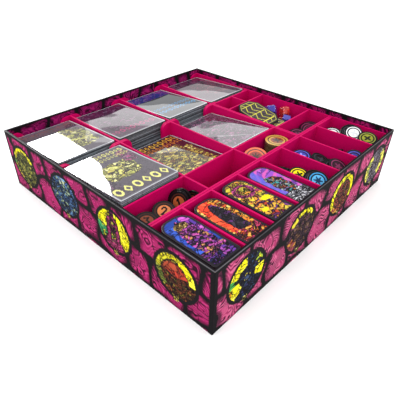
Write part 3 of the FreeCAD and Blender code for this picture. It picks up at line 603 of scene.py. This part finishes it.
GREEN_GOLD = palette("#cfcd72", "#a9aa56", "#8a8b4a", "#e2de98", "#5c573c", "#c0b458")
OCHRES = palette("#c8b04a", "#b0a048", "#8a6a30", "#d8c870", "#6a4a2c", "#a8a458")
PINKS = palette("#b04a80", "#a06a90", "#7a3a62")
GREYS = palette("#4a464f", "#39363d", "#5a545e")
MAUVES = palette("#6c5468", "#4b3f4b", "#7a5270", "#5c4e5a")
DECKS = {
    "rear_deck_1": {"seed": 3, "base": "#5c555e", "tints": GREYS, "amount": 0.6,
                    "patches": [(7, 40, 23, 27, GREEN_GOLD, 4.6, 0.85), (24, 66, 7, 12, MAUVES, 4.0, 0.8)],
                    "rows": [(80, 5, 4.0, "#7a4a36", 0.8), (74, 4, 3.4, "#6a4638", 0.7)]},
    "rear_deck_2": {"seed": 7, "base": "#4c3c4a", "tints": MAUVES, "amount": 0.8,
                    "bands": [(68, 88, "#3c1230", 0.85)],
                    "patches": [(-2, 36, 25, 26, MAUVES, 3.4, 0.8)],
                    "rows": [(15, 8, 7.0, "#a8366c", 0.9), (80, 5, 4.4, "#6a2a50", 0.8)]},
    "rear_deck_3": {"seed": 11, "base": "#34363b", "tints": palette("#3c3e44", "#2f3136"),
                    "amount": 0.5, "bands": [(66, 88, "#23266c", 0.9)], "border": "#6c7078",
                    "rows": [(20, 7, 5.0, "#2f8fc8", 0.95), (31, 6, 5.0, "#2f7fb4", 0.85),
                             (79, 7, 5.0, "#5a68c8", 0.8)]},
    "rear_deck_4": {"seed": 13, "base": "#4a3d47", "tints": MAUVES, "amount": 0.6,
                    "bands": [(70, 88, "#3a122c", 0.8)],
                    "patches": [(8, 40, 20, 26, palette("#7c4658", "#5a4552", "#8a5560"), 4.6, 0.6)]},
    "treasure_deck": {"seed": 17, "base": "#575059", "tints": GREYS, "amount": 0.7,
                      "patches": [(1, 43, 21, 17, GREEN_GOLD, 4.4, 1.0), (23, 64, 8, 14, PINKS, 3.4, 0.85),
                                  (-25, 24, 7, 16, MAUVES, 4.0, 0.7)],
                      "rows": [(12, 12, 10.4, "#e2de82", 1.0), (80, 7, 4.8, "#cfcb74", 1.0),
                               (71, 6, 4.2, "#bdb96a", 0.9)]},
    "event_deck": {"seed": 19, "base": "#2c1824", "tints": palette("#5a3a2c", "#5c2440", "#2a1a24"),
                   "amount": 0.7, "patches": [(0, 32, 29, 34, OCHRES, 3.0, 1.0)],
                   "rows": [(80, 10, 6.4, "#c8962a", 1.0), (70, 8, 5.4, "#b8702c", 0.95)],
                   "border": "#4a3a46"},
    "spell_deck": {"seed": 23, "base": "#4c3a48", "tints": MAUVES, "amount": 1.0, "border": "#5c5660",
                   "patches": [(0, 42, 31, 44, palette("#7c5a74", "#5c4458", "#8e4f78", "#443a48"),
                                3.0, 0.95)]},
}


SLEEVE_PITCH = 0.64
SLEEVE_SHARE = 0.82  # of the pitch that a sleeve's edge takes, the rest being air
SLEEVE_SWAY = 0.45
SLEEVE_PUSH = 0.3
FILM_ROUND = 1.2
FILM_THICK = 0.55
CARD_GRID = (110, 148)


def deck(name, design):
    """A deck: about a hundred sleeve edges between its ends' heights, and the top card's face."""
    corners = np.concatenate(solids(name)) / MM
    low, high = corners.min(axis=0), corners.max(axis=0)
    middle = (low[0] + high[0]) / 2
    width = (high[0] - low[0]) - 1.0
    near_top = corners[corners[:, 1] < low[1] + 0.1][:, 2].max()
    far_top = corners[corners[:, 1] > high[1] - 0.1][:, 2].max()
    length = high[1] - low[1]
    near, far = near_top - low[2], far_top - low[2]
    count = int(near / SLEEVE_PITCH)
    parts = []
    corner_y = np.array([0, 0, 1, 1, 0, 0, 1, 1])
    corner_x = np.array([-1, 1, 1, -1, -1, 1, 1, -1])
    corner_z = np.array([0, 0, 0, 0, 1, 1, 1, 1])
    box_faces = [(0, 3, 2, 1), (4, 5, 6, 7), (0, 1, 5, 4), (1, 2, 6, 5), (2, 3, 7, 6), (3, 0, 4, 7)]
    for index in range(count - 1):
        start = index / count
        part_of = start + corner_z * SLEEVE_SHARE / count
        sway = SLEEVE_SWAY * (scatter(index, 1.0, design["seed"]) - 0.5) * 2
        push = SLEEVE_PUSH * (scatter(index, 2.0, design["seed"]) - 0.5) * 2 - 0.2
        x = middle + corner_x * width / 2 + sway
        y = low[1] + 0.5 + corner_y * (length - 0.8) + push
        share = (y - low[1]) / length
        z = low[2] + part_of * (near + (far - near) * share)
        grey = linear("#666c73") * (0.3 + 1.9 * scatter(index, 3.0, design["seed"]) ** 2)
        parts.append((np.stack([x, y, z], -1), box_faces, np.broadcast_to(grey, (8, 3))))
    points, faces, tints = joined(parts)
    sleeves = surface(f"{name}_sleeves", points * MM, faces, tints)
    dress(sleeves, name, "sleeved_cards", sleeve_edges, name)
    x, y = sheet_outline(width + 0.6, length - 0.4, FILM_ROUND, FILM_ROUND, *CARD_GRID)
    share = y / length
    bulge = 0.35 * np.cos(x / width * math.pi) * np.sin(np.clip(share, 0, 1) * math.pi)
    bulge += 0.6 * (noise(x + 90, y + 20, 31.0, design["seed"]) - 0.5)
    top = low[2] + near + (far - near) * share - 0.35 + bulge
    colours = card_print(x, y, design)
    # The top sleeve's margin is painted pale grey and its sides light grey: a painted glint along the
    # sleeve's edges, over the clear film's own pale margin.
    rim = np.maximum(np.abs(x) - (width / 2 - 1.2), np.maximum(1.2 - y, y - (length - 1.6)))
    colours = lay(colours, "#c9cdd2", soft_edge(rim, 0.5) * 0.8)
    points, faces, tints = slab(x + middle, y + low[1] + 0.2, top, FILM_THICK, colours, linear("#aab0b6"))
    face = surface(f"{name}_top_card", points * MM, faces, tints)
    smooth(face, 50)
    dress(face, name, "sleeved_cards", sleeve_film, name)


# ---------------------------------------------------------------- arched tiles
def tile_border(x, y, width, length, near_round, far_round):
    """Distance in from a tile's outline."""
    half = width / 2
    straight = np.minimum(half - np.abs(x), np.minimum(y, length - y))
    for round_end, centre_y, beyond in ((far_round, length - far_round, y > length - far_round),
                                        (near_round, near_round, y < near_round)):
        corner = round_end - np.hypot(np.abs(x) - (half - round_end), y - centre_y)
        straight = np.where(beyond & (np.abs(x) > half - round_end), corner, straight)
    return straight


def blue_tile(x, y):
    colour = mosaic(x, y, palette("#2f4fb4", "#3a5cc4", "#2a459c"), 9.0, 5, 0.25)
    violet = mosaic(x, y, palette("#8a3ca6", "#b254b8", "#5c3a9c", "#c45ac0"), 4.2, 6)
    colour = lay(colour, violet, soft_edge(noise(x, y, 9.0, 3) - 0.55, 0.05) * (y > 30))
    body = np.abs(x) < 8.5 + 3 * noise(x, y, 5.0, 4) - 0.012 * (y - 28) ** 2
    scene = mosaic(x, y, palette("#b44aa0", "#d65cae", "#6a2f86", "#20202c", "#8d3f8f", "#c98a5a"), 2.3, 7)
    colour = np.where((body | (y < 17))[..., None], scene, colour)
    crown = (np.hypot(x / 6.5, (y - 49) / 5.0) < 1) & (y > 46)
    gold = mosaic(x, y, palette("#b98f4c", "#8a6a3a", "#c9a860"), 1.9, 8)
    colour = np.where(crown[..., None], gold, colour)
    low = mosaic(x, y, palette("#23264e", "#3a2a66", "#6a3a9a", "#16161f", "#a04aa8"), 2.4, 9)
    return np.where((y < 9 + 4 * noise(x, y, 6.0, 2))[..., None], low, colour)


def red_tile(x, y):
    colour = mosaic(x, y, palette("#e8472e", "#dc3a26", "#f05a38"), 8.0, 15, 0.25)
    flames = mosaic(x, y, palette("#f0a63c", "#e8802c", "#f4cf6a", "#c8502c"), 3.0, 16)
    beside = np.maximum(np.abs(x) - 12.0, x - 5.0)
    colour = lay(colour, flames, soft_edge(beside + 4 * noise(x, y, 6.0, 12), 1.0))
    spire = np.abs(x - 0.8) - 7.0 * np.sqrt(np.clip(1 - ((y - 27) / 27) ** 2, 0, 1))
    dark = mosaic(x, y, palette("#2c2a33", "#3a3440", "#25222b", "#5a2f6a", "#3a3038"), 3.4, 17)
    colour = np.where((spire < 0)[..., None], dark, colour)
    low = mosaic(x, y, palette("#e0622c", "#a83a34", "#f0a84a", "#4a2530", "#c8406a"), 2.6, 18)
    return np.where((y < 12 + 6 * noise(x, y, 7.0, 13))[..., None], low, colour)


def yellow_tile(x, y):
    colour = mosaic(x, y, palette("#e0c03c", "#b4a83c", "#e89a3c", "#8a7434", "#9a3a5a", "#c8b83c"), 3.4, 25)
    low = mosaic(x, y, palette("#e58a3e", "#5a2a5a", "#e0a840", "#b4402c", "#6d3a7a", "#d8c040"), 3.2, 26)
    colour = np.where((y < 26 + 6 * noise(x, y, 8.0, 22))[..., None], low, colour)
    hood = np.hypot(x / 9.2, (y - 44) / 8.0)
    arch = (np.abs(hood - 1) < 0.22) & (y > 34)
    rose = mosaic(x, y, palette("#a83a78", "#8e2f66", "#bc4a88"), 3.2, 27)
    colour = np.where(arch[..., None], rose, colour)
    for ink, a, b, wide, high in (("#f6ea1a", 6.5, 25, 5.2, 3.0), ("#f0d21c", -7.5, 15, 4.0, 2.6)):
        spot = np.hypot((x - a) / wide, (y - b) / high)
        colour = lay(colour, ink, 1 - soft_edge(spot - 0.9, 0.12))
    return colour


def violet_tile(x, y):
    colour = mosaic(x, y, palette("#8a4ab4", "#a050b8", "#7440a4"), 10.0, 35, 0.2)
    streak = np.sin((y - 0.7 * x) * 0.55 + 5 * noise(x, y, 12.0, 31))
    colour = lay(colour, "#d65cae", soft_edge(streak - 0.2, 0.5) * 0.8)
    colour = lay(colour, "#5a62cc", soft_edge(-x - 4 + 4 * noise(x, y, 6.0, 32), 2.0) * 0.8)
    scene = mosaic(x, y, palette("#3f8a8c", "#e0853c", "#7a6a9a", "#2b2a34", "#8e9a96", "#b0584a"), 2.2, 36)
    body = np.hypot(x / 10.5, (y - 28) / 19) + 0.4 * (noise(x, y, 5.0, 33) - 0.5) < 0.9
    colour = np.where(body[..., None], scene, colour)
    # The pale grey-white shards at the near end are a painted glare: the white reflection at that end,
    # painted into the print.
    low = mosaic(x, y, palette("#c4c4cc", "#8a8e98", "#dcdce2", "#74707c"), 2.0, 37)
    return np.where((y < 12 + 6 * noise(x, y, 7.0, 34))[..., None], low, colour)


TILES = {"arched_tiles_1": blue_tile, "arched_tiles_2": red_tile,
         "arched_tiles_3": yellow_tile, "arched_tiles_4": violet_tile}


TILE_ROUNDS = (2.5, 11.0)  # of the near and the far corners
TOP_TILE_GRID, LOW_TILE_GRID = (60, 124), (10, 16)


def stacked(name, kind, points, faces, tints, angle, slot, finish):
    """One smooth piece for all of a bay's tiles or discs."""
    piece = surface(f"{name}_{kind}", points, faces, tints)
    smooth(piece, angle)
    dress(piece, name, slot, finish, name)


def arched_tiles(name, picture):
    """A stack of tiles: plain varnished edges below, and the picture on the top one."""
    parts = []
    stack = solids(name)
    for level, corners in enumerate(stack):
        low, high = corners.min(axis=0) / MM, corners.max(axis=0) / MM
        width, length = high[0] - low[0], high[1] - low[1]
        last = level == len(stack) - 1
        size = TOP_TILE_GRID if last else LOW_TILE_GRID
        x, y = sheet_outline(width, length, *TILE_ROUNDS, *size)
        edge = tile_border(x, y, width, length, *TILE_ROUNDS)
        top = np.full(x.shape, high[2]) - 0.12 * (1 - soft_edge(edge, 0.35))
        black = linear("#29252c")
        if last:
            colours = lay(np.broadcast_to(black, (*x.shape, 3)), picture(x, y),
                          soft_edge(edge - 1.9 + 0.4 * (noise(x, y, 3.0, 1) - 0.5), 0.4))
        else:
            colours = np.broadcast_to(black, (*x.shape, 3))
        thick = high[2] - low[2]
        parts.append(slab(x + (low[0] + high[0]) / 2, y + low[1], top, thick - 0.1, colours,
                          linear("#2d2a2e")))
    points, faces, tints = joined(parts)
    stacked(name, "stack", points * MM, faces, tints, 35, "printed_tiles", varnished_board)


# ---------------------------------------------------------------- round pieces
def lathe(profile, segments):
    """A profile of radius and height turned round Z, with a flat cap on each end of it."""
    angle = np.arange(segments) * 2 * math.pi / segments
    radius, height = np.array(profile).T
    points = np.stack([radius[:, None] * np.cos(angle), radius[:, None] * np.sin(angle),
                       np.repeat(height[:, None], segments, 1)], -1).reshape(-1, 3)
    last = (len(radius) - 1) * segments
    caps = [list(range(segments - 1, -1, -1)), list(range(last, last + segments))]
    return points, [*grid_faces(len(radius), segments, wrap=True), *caps]


def disc_of(corners):
    """Middle, axis, radius and thickness of a disc from its corner points."""
    middle = corners.mean(axis=0)
    spread = corners - middle
    _, _, ways = np.linalg.svd(spread, full_matrices=False)
    axis = ways[2] * (1 if ways[2][2] >= 0 else -1)
    along = spread @ axis
    across = np.linalg.norm(spread - along[:, None] * axis, axis=1)
    return middle, axis, across.max(), along.max() - along.min()


NUMERALS = {
    1: [(-0.12, 0.2), (0.03, 0.34), (0.03, -0.32)],
    2: [(-0.19, 0.18), (-0.1, 0.33), (0.1, 0.33), (0.19, 0.2), (0.13, 0.04), (-0.2, -0.32), (0.22, -0.32)],
    3: [(-0.18, 0.32), (0.16, 0.32), (0.0, 0.06), (0.18, -0.12), (0.08, -0.31), (-0.19, -0.28)],
}


def near_line(x, y, corners):
    """Distance to a line of straight runs, each run's nearest point being clamped to its ends."""
    least = np.full(np.shape(x), 9.0)
    for (ax, ay), (bx, by) in zip(corners, corners[1:]):
        length = (bx - ax) ** 2 + (by - ay) ** 2
        share = np.clip(((x - ax) * (bx - ax) + (y - ay) * (by - ay)) / length, 0, 1)
        least = np.minimum(least, np.hypot(x - ax - share * (bx - ax), y - ay - share * (by - ay)))
    return least


def token_face(x, y, design, seed):
    """A token's face, x and y in radii: dark rim, two coloured discs, and an emblem or numeral."""
    ground, ring, disc, ink, sign = design
    radius, angle = np.hypot(x, y), np.arctan2(y, x)
    colour = np.broadcast_to(linear(ground), (*radius.shape, 3))
    colour = np.where(((radius < 0.8) & (radius > 0.7))[..., None], linear(ring), colour)
    colour = np.where((radius < 0.57)[..., None], linear(disc), colour)
    if sign < 4:
        inked = near_line(x, y, NUMERALS[sign]) < 0.08
    else:
        inked = radius < 0.3 * (1 + 0.45 * np.cos(sign * angle + seed))
    return np.where(inked[..., None], linear(ink), colour)


FACE_RINGS = (0.9, 0.81, 0.79, 0.71, 0.69, 0.61, 0.59, 0.53, 0.47, 0.41, 0.35, 0.29, 0.23, 0.17, 0.11, 0.05)
AWAY = np.array([0.74, 0.67, 0.0])
# A disc whose middle has another one's above it, this near in mm, hides its face.
COVERED_WITHIN = 3.0
FINE_SEGMENTS, COARSE_SEGMENTS = 48, 20
# Larger than any distance in mm, for a disc that no accent may take.
NEVER = 1e6


def round_pieces(name, slot, finish, usual, accents=(), rim="#131115", exposed_depth=16.0, facing=0.0):
    """Every disc of a pile, turned like its CAD solid.

    A disc that shows has a finer face than the ones under it. Each accent is a design and the spot,
    in mm, where the topmost disc takes it. facing is how far, in radians, an emblem may be turned
    from upright as seen from the box's near corner.
    """
    stack = solids(name)
    highest = max(corners[:, 2].max() for corners in stack)
    middles = np.array([corners.mean(axis=0) for corners in stack]) / MM
    apart = np.hypot(*(middles[:, None, :2] - middles[None, :, :2]).transpose(2, 0, 1))
    above = middles[None, :, 2] > middles[:, None, 2] + 0.5
    covered = (above & (apart < COVERED_WITHIN)).any(axis=1)
    designs = [usual] * len(stack)
    taken = np.where(covered, NEVER, 0.0)
    for design, spot_x, spot_y in accents:
        away = np.hypot(middles[:, 0] - spot_x, middles[:, 1] - spot_y)
        chosen = int(np.argmin(away + 1.5 * (highest / MM - middles[:, 2]) + taken))
        designs[chosen] = design
        taken[chosen] = NEVER
    parts = []
    for index, corners in enumerate(stack):
        centre, axis, radius, thick = disc_of(corners)
        half = thick / 2
        if not covered[index] and corners[:, 2].mean() > highest - exposed_depth * MM:
            edge = min(0.28 * MM, half * 0.4)
            profile = [(radius - edge, -half), (radius, -half + edge), (radius, half - edge),
                       (radius - edge, half), *((radius * share, half) for share in FACE_RINGS)]
            points, faces = lathe(profile, FINE_SEGMENTS)
        else:
            points, faces = lathe([(radius, -half), (radius, half)], COARSE_SEGMENTS)
        turn = facing * (2 * scatter(index, 4.0, len(stack)) - 1)
        x, y = points[:, 0] / radius, points[:, 1] / radius
        face = token_face(x * math.cos(turn) - y * math.sin(turn), x * math.sin(turn) + y * math.cos(turn),
                          designs[index], index)
        worn = 0.8 + 0.5 * scatter(index, 2.0, 5.0)
        on_face = ((np.abs(points[:, 2]) > half - 1e-7) & (np.hypot(x, y) < 0.99))[:, None]
        tints = np.where(on_face, face, linear(rim) * worn)
        across = np.cross(AWAY, axis)
        across /= np.linalg.norm(across)
        basis = np.stack([across, np.cross(axis, across), axis])
        parts.append((points @ basis + centre, faces, tints))
    stacked(name, "pile", *joined(parts), 35, slot, finish)


# Each design: ground, ring, disc, ink, and a numeral up to 3 or an emblem with that many petals.
YELLOW_TOKEN = ("#1d1b20", "#f0da1c", "#f4df1c", "#1c1a18", 5)
SKY_TOKEN = ("#1d1b20", "#3f9bd6", "#5cb4e6", "#1f3a5c", 6)
DARK_TOKEN = ("#121013", "#34313a", "#1a181c", "#3c3942", 4)
BLUE_TOKEN = ("#201f30", "#5a60d0", "#3b3f9c", "#8f96ea", 4)
ROSE_TOKEN = ("#1f1a20", "#8c3a62", "#3a1c2c", "#7c3358", 5)
LIME_TOKEN = ("#17171a", "#8f9440", "#8a8f2e", "#25261f", 4)
# Ring and disc painted white: a painted glare, as flat-lying tokens show.
GLARE_PAINTED_TOKEN = ("#1f1f22", "#f0f2f4", "#f0f2f4", "#d0d4d8", 4)
ONE_TOKEN = ("#120e10", "#45221a", "#a8552f", "#160f11", 1)
TWO_TOKEN = ("#120e10", "#45221a", "#cf7c48", "#160f11", 2)
THREE_TOKEN = ("#120e10", "#3a1c16", "#7e3f28", "#160f11", 3)
WINE_TOKEN = ("#2a0f1e", "#8a2458", "#5a0f38", "#3a0a26", 6)
TOKENS = {
    "round_tokens_1": (DARK_TOKEN, [(YELLOW_TOKEN, 15, -108), (SKY_TOKEN, 17, -134)]),
    "round_tokens_2": (DARK_TOKEN, [(BLUE_TOKEN, 60, -92), (ROSE_TOKEN, 58, -135)]),
    "round_tokens_3": (DARK_TOKEN, [(BLUE_TOKEN, 98, -136)]),
    "round_tokens_4": (DARK_TOKEN, [(GLARE_PAINTED_TOKEN, 123, -92), (GLARE_PAINTED_TOKEN, 129, -114), (LIME_TOKEN, 133, -109),
                                    (LIME_TOKEN, 124, -133)]),
    "numbered_tokens": (THREE_TOKEN, [(TWO_TOKEN, -109, -56), (ONE_TOKEN, -96, -60),
                                      (THREE_TOKEN, -130, -62)]),
    "dark_tokens": (WINE_TOKEN, [(ROSE_TOKEN, 100, -62)]),
}
TOP_COUNTER = ("#c9a24a", "#3c2a20", "#8c4a2c", "#2c1c18", 6)
LOW_COUNTER = ("#d8663a", "#3a2020", "#8a3a28", "#2a1614", 8)


CLIP = 9.0
CLIPPED_GRID, PLAIN_COLUMNS = (96, 74), 4
ZIGZAG, BAR_PITCH = 9.5, 16


def clipped_tiles(name):
    """Tiles with clipped corners, and line ornament on the top one."""
    stack = solids(name)
    parts = []
    for level, corners in enumerate(stack):
        centre, normal, _, thick = disc_of(corners)
        centre, thick = centre / MM, thick / MM
        extent = (corners.max(axis=0) - corners.min(axis=0)) / MM
        width, length = extent[0], extent[1] - thick * abs(normal[1])
        if level >= len(stack) - 2:
            y, columns = np.linspace(0, length, CLIPPED_GRID[0]), CLIPPED_GRID[1]
        else:
            y, columns = np.array([0, CLIP, length / 2, length - CLIP, length]), PLAIN_COLUMNS
        inset = np.maximum(CLIP - y, 0) + np.maximum(y - (length - CLIP), 0)
        s = np.linspace(-1, 1, columns)
        x = s[None, :] * (width / 2 - inset)[:, None]
        y = np.broadcast_to(y[:, None], x.shape)
        edge = np.minimum(width / 2 - np.abs(x), np.minimum(y, length - y))
        corner = (width / 2 + length / 2 - CLIP - np.abs(x) - np.abs(y - length / 2)) * 0.7071
        edge = np.minimum(edge, corner)
        colour = wash(x, y, "#3b3735", palette("#4f4a44", "#33302f", "#5a4658"), 0.8, 3.0, 41)
        bar = np.abs((y % BAR_PITCH) - BAR_PITCH / 2)
        zigzag = np.abs(((x + 0.8 * bar) % ZIGZAG) - ZIGZAG / 2)
        lines = (zigzag < 0.6) | ((bar < 0.55) & (np.abs(x) < 12))
        colour = lay(colour, "#cfc84c", np.where(lines & (edge > 3.2), 0.95, 0))
        colour = lay(colour, "#b4ae58", 1 - soft_edge(np.abs(edge - 2.4) - 0.25, 0.3))
        colour = lay(colour, "#2a282b", 1 - soft_edge(edge - 1.5, 0.3))
        top = centre[2] + thick / 2 / normal[2] - (y - length / 2) * normal[1] / normal[2]
        parts.append(slab(x + centre[0], y + centre[1] - length / 2, top, thick - 0.1, colour,
                          linear("#3a3735")))
    points, faces, tints = joined(parts)
    stacked(name, "stack", points * MM, faces, tints, 30, "printed_tiles", varnished_board)


def acrylic_cubes(name):
    """Each cube keeps its CAD solid's corners; its tint goes by its place along the bay."""
    tints = palette("#3f8a68", "#4a3fc0", "#d8342c", "#3a34b0", "#5a2f8a")
    source = frame["nodes"][name]
    piece = placed(f"{name}_set", source.data.copy())
    mesh = piece.data
    merged = bmesh.new()
    merged.from_mesh(mesh)
    bmesh.ops.remove_doubles(merged, verts=merged.verts, dist=1e-3 * MM)
    merged.to_mesh(mesh)
    merged.free()
    spots = points_of(mesh)
    centres = np.array([(corners.min(axis=0) + corners.max(axis=0)) / 2 for corners in solids(name)])
    nearest = np.argmin(np.linalg.norm(spots[:, None] - centres[None], axis=2), axis=1)
    rank = np.empty(len(centres), dtype=int)
    rank[np.argsort(centres[:, 1])] = np.arange(len(centres)) * len(tints) // len(centres)
    paint(mesh, tints[rank[nearest]])
    mesh.materials.clear()
    smooth(piece, 30)
    dress(piece, name, "acrylic", acrylic, name)


# ---------------------------------------------------------------- stage
# Solved position and aim of the viewer: millimetres from the centre of the footprint.
VIEWER = (-294.26, -267.44, 258.47)
VIEWER_TURN = (54.343, -0.812, -46.962)
LENS = 36.10
FLOOR_HALF = 8.0
WORLD_STRENGTH = 0.86
# Each light: name, shape, place, aim, width, height, watts, and whether it lights matt surfaces.
LIGHTS = (
    ("overhead_softbox", "RECTANGLE", (-0.1, 0.3, 1.5), (0, 0, 0), 1.4, 1.4, 12.0, True),
    ("front_softbox", "RECTANGLE", (-1.3, -1.2, 1.1), (0, 0, 0.05), 1.6, 1.0, 16.0, True),
    ("bright_round_panel", "ELLIPSE", (-0.1, 1.85, 1.1), (-0.12, 0.05, 0.06), 2.0, 1.9, 150.0, False),
    ("right_softbox", "RECTANGLE", (1.3, -1.3, 0.9), (0, 0, 0.03), 1.2, 0.9, 9.0, True),
    ("dim_low_strip", "RECTANGLE", (1.5, 1.47, 0.755), (0, 0, 0.06), 1.5, 0.19, 1.3, False),
    ("dim_high_strip", "RECTANGLE", (1.75, 1.16, 0.97), (0, 0, 0.06), 0.7, 0.25, 0.8, False),
)


def stage():
    """Camera, white sweep and soft studio light."""
    camera = placed("camera", bpy.data.cameras.new("camera"))
    camera.data.sensor_width = 36.0
    camera.data.lens = LENS
    camera.location = [value * MM for value in VIEWER]
    camera.rotation_euler = Euler([math.radians(value) for value in VIEWER_TURN])
    camera.data.clip_start = 0.01
    bpy.context.scene.camera = camera

    corners = np.array([[-1, -1, 0], [1, -1, 0], [1, 1, 0], [-1, 1, 0]]) * FLOOR_HALF
    floor = surface("floor", corners, [(0, 1, 2, 3)])
    floor.data.materials.append(material("white_sweep", {"Roughness": 0.85}, "#ffffff", (1.0, 1.0), 50.0))

    world = bpy.data.worlds.new("studio")
    bpy.context.scene.world = world
    world.use_nodes = True
    background = world.node_tree.nodes["Background"]
    background.inputs["Color"].default_value = (1, 1, 1, 1)
    background.inputs["Strength"].default_value = WORLD_STRENGTH
    for name, shape, place, aim, wide, high, power, lights_all in LIGHTS:
        data = bpy.data.lights.new(name, "AREA")
        data.shape, data.size, data.size_y, data.energy = shape, wide, high, power
        light = placed(name, data)
        light.location = place
        toward = np.array(aim) - np.array(place)
        light.rotation_euler = Vector(toward).to_track_quat("-Z", "Y").to_euler()
        light.visible_diffuse = lights_all
    bpy.context.scene.view_settings.view_transform = "Standard"


def carry_over():
    """Give every CAD node that stays its material."""
    slot_of = {entry["node"]: entry["material_slot"] for entry in frame["record"]["subparts"]}
    for name, part in frame["nodes"].items():
        if slot_of[name] in FINISHES:
            part.data.materials.clear()
            part.data.materials.append(FINISHES[slot_of[name]])


carry_over()
printed_wrap()
for deck_name, deck_design in DECKS.items():
    deck(deck_name, deck_design)
for tile_name, tile_picture in TILES.items():
    arched_tiles(tile_name, tile_picture)
for pile_name, (usual_design, pile_accents) in TOKENS.items():
    round_pieces(pile_name, "card_tokens", varnished_board, usual_design, pile_accents, facing=0.6)
round_pieces("round_counters", "wood_counters", lacquer, LOW_COUNTER, [(TOP_COUNTER, 56, -57)],
             rim="#5f4e34", exposed_depth=60.0)
clipped_tiles("clipped_tiles")
acrylic_cubes("acrylic_cubes")
stage()
